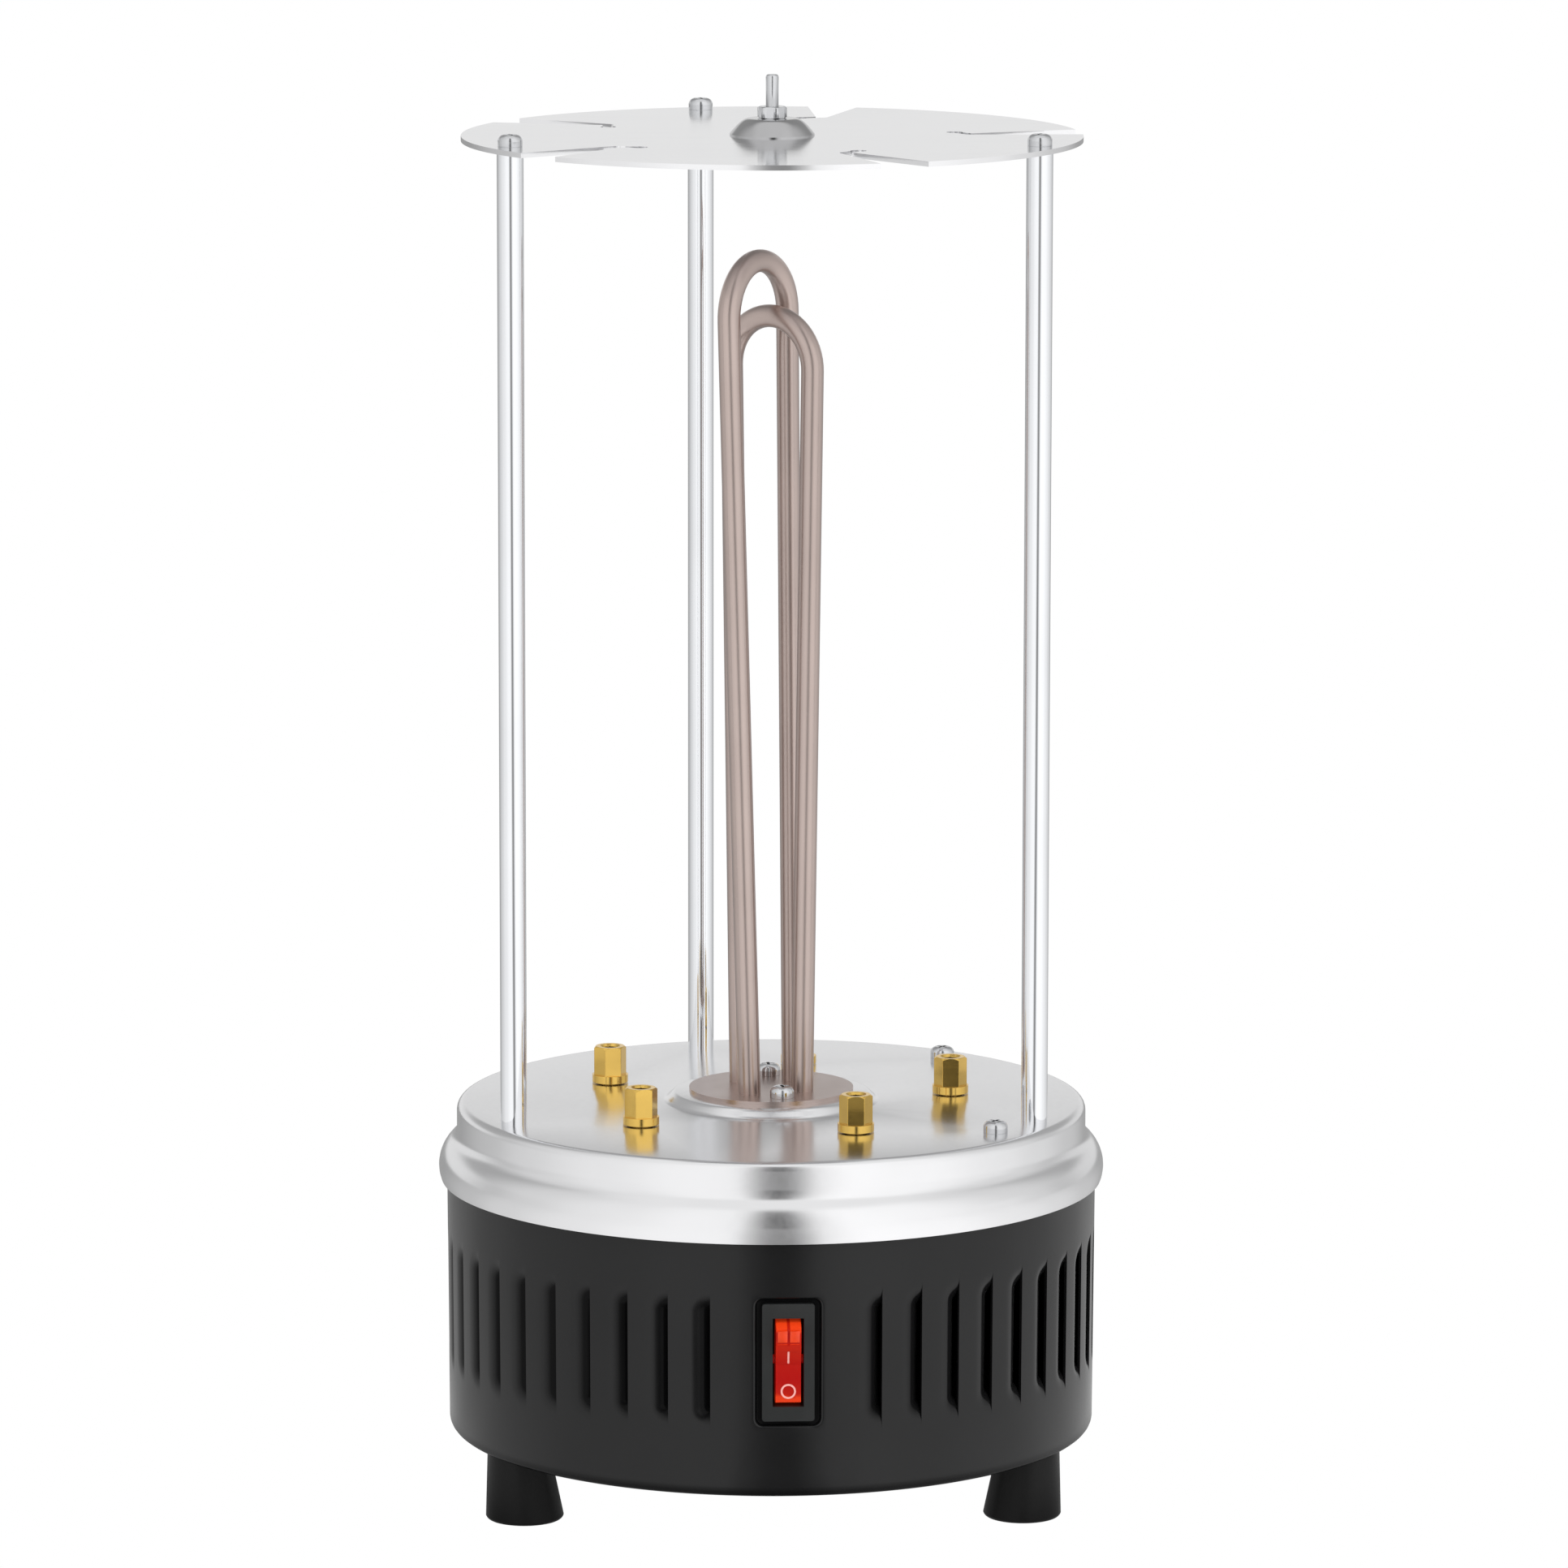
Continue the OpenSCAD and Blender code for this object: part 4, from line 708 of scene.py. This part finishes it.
class GRILL_OT_top_fittings(PieceOperator, Operator):
    """Press the domed washer, round the bolt's end and turn the nut"""

    bl_idname = "grill.top_fittings"
    bl_label = "Top fittings"

    dome_top_r, dome_wall, dome_foot = 6.2 * MM, 0.8 * MM, 0.35 * MM
    hole_r = 2.1 * MM
    nut_turn = 37.0
    end_round = 0.7 * MM

    def make(self, sizes, colours):
        surface("dome_steel", (0.44, 0.44, 0.445), (0.50, 0.50, 0.505), (0.10, 0.16), 1.0,
                (700, (1, 1, 1)), 60, (0.03, 0.02 * MM))
        self.dome()
        nut = merged_copy("centre_nut")
        turn = Matrix.Rotation(math.radians(self.nut_turn), 3, "Z")
        bmesh.ops.rotate(nut, verts=nut.verts, cent=(0, 0, 0), matrix=turn)
        new_piece("turned_nut", nut, "zinc_steel", "base", "centre_nut", smooth=30)
        bolt = merged_copy("centre_bolt")
        top = max(v.co.z for v in bolt.verts)
        rim = [e for e in bolt.edges if all(abs(v.co.z - top) < 0.01 * MM for v in e.verts)
               and len(e.link_faces) == 2 and e.calc_face_angle(0.0) > math.radians(60)]
        rounded(bolt, rim, self.end_round, 6)
        outward(bolt)
        new_piece("rounded_bolt", bolt, "zinc_steel", "base", "centre_bolt", smooth=30)

    def slope(self, outer_r, inner_r, bottom, top):
        """Points from the flat top's edge down a rounded side."""
        turns = quarter_turn(16)
        radii = between(inner_r, outer_r, len(turns) - 1)
        return [(r, bottom + (top - bottom) * math.cos(turn)) for r, turn in zip(radii, turns)]

    def dome(self):
        """A round shell, steep at its rim and flat on top."""
        low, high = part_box("domed_washer")
        rim_r, inner_rim_r, inner_top = high.x, high.x - self.dome_wall, high.z - self.dome_wall
        outer = self.slope(rim_r, self.dome_top_r, low.z + self.dome_foot, high.z)
        inner = self.slope(inner_rim_r, self.dome_top_r - self.dome_wall, low.z, inner_top)
        outline = [(self.hole_r, high.z), *outer, (rim_r, low.z)]
        outline += [(inner_rim_r, low.z), *reversed(inner), (self.hole_r, inner_top)]
        bm = bmesh.new()
        verts = [bm.verts.new((r, 0, z)) for r, z in outline]
        edges = [bm.edges.new(pair) for pair in zip(verts, verts[1:] + verts[:1])]
        bmesh.ops.spin(bm, geom=verts + edges, cent=(0, 0, 0), axis=(0, 0, 1),
                       angle=2 * math.pi, steps=128, use_merge=True)
        outward(bm)
        new_piece("dome", bm, "plate_steel", "base", "domed_washer", smooth=30,
                  look="dome_steel")


class GRILL_OT_rocker_marks(PieceOperator, Operator):
    """Put the marks and the lens panes on the rocker's faces"""

    bl_idname = "grill.rocker_marks"
    bl_label = "Rocker marks"

    pivot = Vector((0, -84.473 * MM, 57.1 * MM))
    face = 4.6 * MM
    half_travel = 8.0
    thick = 0.05 * MM
    ring_radii, ring_from_ridge = (2.05 * MM, 1.55 * MM), 7.2 * MM
    bar, bar_from_ridge = (0.5 * MM, 3.6 * MM), 2.25 * MM
    pane_from_ridge, pane_thick, pane_sink = 8.45 * MM, 0.16 * MM, 0.02 * MM
    pane_wide, pane_aside = 2.6 * MM, 1.65 * MM
    # Height of each pair of panes, and how far it sits above the upper pair's middle
    pane_rows = ((3.4 * MM, 0.0), (1.1 * MM, -2.8 * MM))

    def place(self, bm, side, distance, lift):
        """Moves a flat shape on XY to a distance from the ridge, on the upper (1) or lower (-1)
        face."""
        half = math.radians(self.half_travel)
        ridge = self.face / math.cos(half)
        at = Vector((0, -(ridge + math.tan(half) * distance), side * distance))
        out = Vector((0, -math.cos(half), -side * math.sin(half)))
        up = Vector((0, -side * math.sin(half), math.cos(half)))
        basis = Matrix((up.cross(out), up, out)).transposed().to_4x4()
        tilt = Matrix.Rotation(half, 4, "X")
        put = Matrix.Translation(self.pivot) @ tilt @ Matrix.Translation(at + out * lift) @ basis
        bmesh.ops.transform(bm, verts=bm.verts, space=Matrix(), matrix=put)

    def make(self, sizes, colours):
        thick = self.thick
        bm = bmesh.new()
        for radius in self.ring_radii:
            bmesh.ops.create_circle(bm, segments=64, radius=radius)
        bmesh.ops.bridge_loops(bm, edges=bm.edges[:])
        bmesh.ops.solidify(bm, geom=bm.faces[:], thickness=thick)
        self.place(bm, -1, self.ring_from_ridge, thick)
        outward(bm)
        new_piece("mark_off", bm, "rocker_red", "rocker", look="marking")
        bm = bmesh.new()
        add_block(bm, (*self.bar, thick))
        upright = [e for e in bm.edges if abs(e.verts[0].co.z - e.verts[1].co.z) > thick / 2]
        rounded(bm, upright, 0.15 * MM, 3)
        self.place(bm, 1, self.bar_from_ridge, thick / 2)
        outward(bm)
        new_piece("mark_on", bm, "rocker_red", "rocker", look="marking")
        bm = bmesh.new()
        for tall, up in self.pane_rows:
            for side in (-1, 1):
                size = (self.pane_wide, tall, self.pane_thick)
                add_block(bm, size, (side * self.pane_aside, up, 0))
        rounded(bm, bm.edges[:], 0.05 * MM, 2)
        self.place(bm, 1, self.pane_from_ridge, -self.pane_sink)
        outward(bm)
        new_piece("rocker_lens", bm, "rocker_red", "rocker", look="lens")


class GRILL_OT_stage(PieceOperator, Operator):
    """Make the floor, the soft light and the camera"""

    bl_idname = "grill.stage"
    bl_label = "Stage"

    camera_place = (-0.1284, -2.4494, 0.6113)
    heading, dip, roll = 3.081, 9.530, 0.0726
    lens = 207.4
    # Brightness that reflections see, by angle from the front: on the floor, then higher up
    low_levels = ((-180, 0.36), (-155, 0.38), (-121, 0.60), (-100, 0.78), (-67, 0.96),
                  (-30, 1.13), (-14, 1.13), (-9, 0.65), (-4, 0.32), (3, 0.28), (8, 0.6),
                  (13, 1.08), (25, 1.22), (50, 1.18), (84, 1.0), (103, 0.85), (128, 0.66),
                  (155, 0.40), (180, 0.36))
    high_levels = ((-180, 0.84), (-140, 0.85), (-115, 0.62), (-100, 0.76), (-67, 0.96),
                   (-30, 1.13), (-14, 1.13), (-8, 0.60), (-4, 0.15), (3, 0.12), (8, 0.55),
                   (13, 1.08), (25, 1.22), (50, 1.16), (84, 0.98), (103, 0.80), (118, 0.62),
                   (140, 0.78), (180, 0.84))
    upper_levels = ((-180, 0.40), (-140, 0.45), (-100, 0.80), (-67, 0.96), (-30, 1.13),
                    (-14, 1.13), (-8, 0.6), (-4, 0.12), (3, 0.10), (8, 0.55), (13, 1.08),
                    (25, 1.22), (50, 1.16), (100, 0.82), (140, 0.45), (180, 0.40))
    overhead_level = 0.98
    # Rise of a direction, as the sine of its angle, where one set of levels turns to the next
    rise_to_upper, rise_to_overhead = (0.22, 0.36), (0.78, 0.94)
    # Light on every surface that isn't a mirror
    fill_level = 0.45
    # Painted shade: reflections see the floor darker near the feet, for the object's shadow on
    # it: from a radius, to a radius, least share
    floor_painted_shade = (95 * MM, 150 * MM, 0.3)
    # Name, angle from the front, rise, distance, size and power of each lamp
    lamps = (
        ("soft_left", -52, 22, 1.9, (1.5, 2.2), 8),
        ("soft_right", 52, 22, 1.9, (1.5, 2.2), 34),
        ("soft_top", 10, 72, 1.7, (1.6, 1.6), 10),
    )
    lamps_aim = Vector((0, 0, 0.2))

    def make(self, sizes, colours):
        bpy.context.scene.view_settings.view_transform = "Standard"
        self.camera()
        self.floor()
        self.world()
        self.lights()

    def camera(self):
        made = bpy.data.cameras.new("camera")
        made.lens = self.lens
        made.sensor_width = 36.0
        made.clip_start, made.clip_end = 0.05, 100.0
        camera = bpy.data.objects.new("camera", made)
        bpy.context.scene.collection.objects.link(camera)
        camera.location = self.camera_place
        turn = (Matrix.Rotation(-math.radians(self.heading), 4, "Z")
                @ Matrix.Rotation(math.radians(90 - self.dip), 4, "X")
                @ Matrix.Rotation(math.radians(self.roll), 4, "Z"))
        camera.rotation_euler = turn.to_euler()
        bpy.context.scene.camera = camera

    def straight_sight(self, tree, path):
        """1 where the camera sees a thing itself, also through glass, and 0 elsewhere."""
        return maths(tree, "MAXIMUM", path["Is Camera Ray"], path["Is Transmission Ray"])

    def floor(self):
        bm = bmesh.new()
        bmesh.ops.create_grid(bm, x_segments=8, y_segments=8, size=15.0)
        mesh = bpy.data.meshes.new("floor")
        bm.to_mesh(mesh)
        bm.free()
        floor = bpy.data.objects.new("floor", mesh)
        bpy.context.scene.collection.objects.link(floor)
        mesh.materials.append(self.pale_floor())

    def pale_floor(self):
        """White to the camera, plain to lamps and shadows, and a studio's floor to mirrors."""
        material = bpy.data.materials.new("pale_floor")
        material.use_nodes = True
        tree = material.node_tree
        tree.nodes.remove(tree.nodes["Principled BSDF"])

        def glow(strength):
            return add(tree, "Emission", {"Color": WHITE, "Strength": strength}).outputs[0]

        place = own_place(tree)
        away = add(tree, "VectorMath", {0: place}, operation="LENGTH").outputs["Value"]
        # Painted shade on the floor's glow that reflections see, darker near the feet
        first, last, least = self.floor_painted_shade
        near = spread(tree, away, least, 1.0, start=first, end=last)
        level = maths(tree, "MULTIPLY", round_studio(tree, place, self.low_levels), near)
        soft = add(tree, "BsdfDiffuse", {"Color": (0.82, 0.82, 0.82, 1)}).outputs[0]
        path = add(tree, "LightPath").outputs
        either = add(tree, "MixShader", {0: path["Is Glossy Ray"], 1: soft, 2: glow(level)})
        seen = self.straight_sight(tree, path)
        mixed = add(tree, "MixShader", {0: seen, 1: either.outputs[0], 2: glow(BACKDROP_WHITE)})
        tree.links.new(mixed.outputs[0], tree.nodes["Material Output"].inputs["Surface"])
        return material

    def world(self):
        world = bpy.context.scene.world or bpy.data.worlds.new("world")
        bpy.context.scene.world = world
        world.use_nodes = True
        tree = world.node_tree
        way = add(tree, "TexCoord").outputs["Generated"]
        rise = parts_of(tree, way)[2]

        def step(low, high):
            return add(tree, "MapRange", {"Value": rise, "From Min": low, "From Max": high},
                       interpolation_type="SMOOTHSTEP").outputs[0]

        high = round_studio(tree, way, self.high_levels)
        upper = round_studio(tree, way, self.upper_levels)
        level = blended(tree, step(*self.rise_to_upper), high, upper)
        level = blended(tree, step(*self.rise_to_overhead), level, self.overhead_level)
        path = add(tree, "LightPath").outputs
        level = blended(tree, path["Is Glossy Ray"], self.fill_level, level)
        level = blended(tree, self.straight_sight(tree, path), level, BACKDROP_WHITE)
        background = tree.nodes["Background"]
        background.inputs["Color"].default_value = WHITE
        tree.links.new(level, background.inputs["Strength"])

    def lights(self):
        for name, turn, rise, far, size, power in self.lamps:
            made = bpy.data.lights.new(name, "AREA")
            made.shape = "RECTANGLE"
            made.size, made.size_y = size
            made.energy = power
            lamp = bpy.data.objects.new(name, made)
            bpy.context.scene.collection.objects.link(lamp)
            a, e = math.radians(turn), math.radians(rise)
            away = Vector((math.sin(a) * math.cos(e), -math.cos(a) * math.cos(e), math.sin(e)))
            lamp.location = self.lamps_aim + away * far
            lamp.visible_glossy = False
            lamp.rotation_euler = away.to_track_quat("Z", "Y").to_euler()


class GRILL_PT_panel(Panel):
    """The grill's operators, sizes and colours"""

    bl_label = "Skewer Grill"
    bl_space_type = "VIEW_3D"
    bl_region_type = "UI"
    bl_category = "Grill"

    def draw(self, context):
        for operator in OPERATORS:
            self.layout.operator(operator.bl_idname)
        for group in (context.scene.grill_sizes, context.scene.grill_colours):
            for name in group.__annotations__:
                self.layout.prop(group, name)


OPERATORS = (GRILL_OT_finishes, GRILL_OT_drum, GRILL_OT_pan, GRILL_OT_top_fittings,
             GRILL_OT_rocker_marks, GRILL_OT_stage)
CLASSES = (GrillSizes, GrillColours, *OPERATORS, GRILL_PT_panel)


def register():
    for each in CLASSES:
        bpy.utils.register_class(each)
    bpy.types.Scene.grill_sizes = PointerProperty(type=GrillSizes)
    bpy.types.Scene.grill_colours = PointerProperty(type=GrillColours)


def unregister():
    del bpy.types.Scene.grill_sizes
    del bpy.types.Scene.grill_colours
    for each in reversed(CLASSES):
        bpy.utils.unregister_class(each)


def main():
    register()
    bpy.ops.grill.finishes()
    bpy.ops.grill.drum()
    bpy.ops.grill.pan()
    bpy.ops.grill.top_fittings()
    bpy.ops.grill.rocker_marks()
    bpy.ops.grill.stage()


if __name__ == "__main__":
    main()
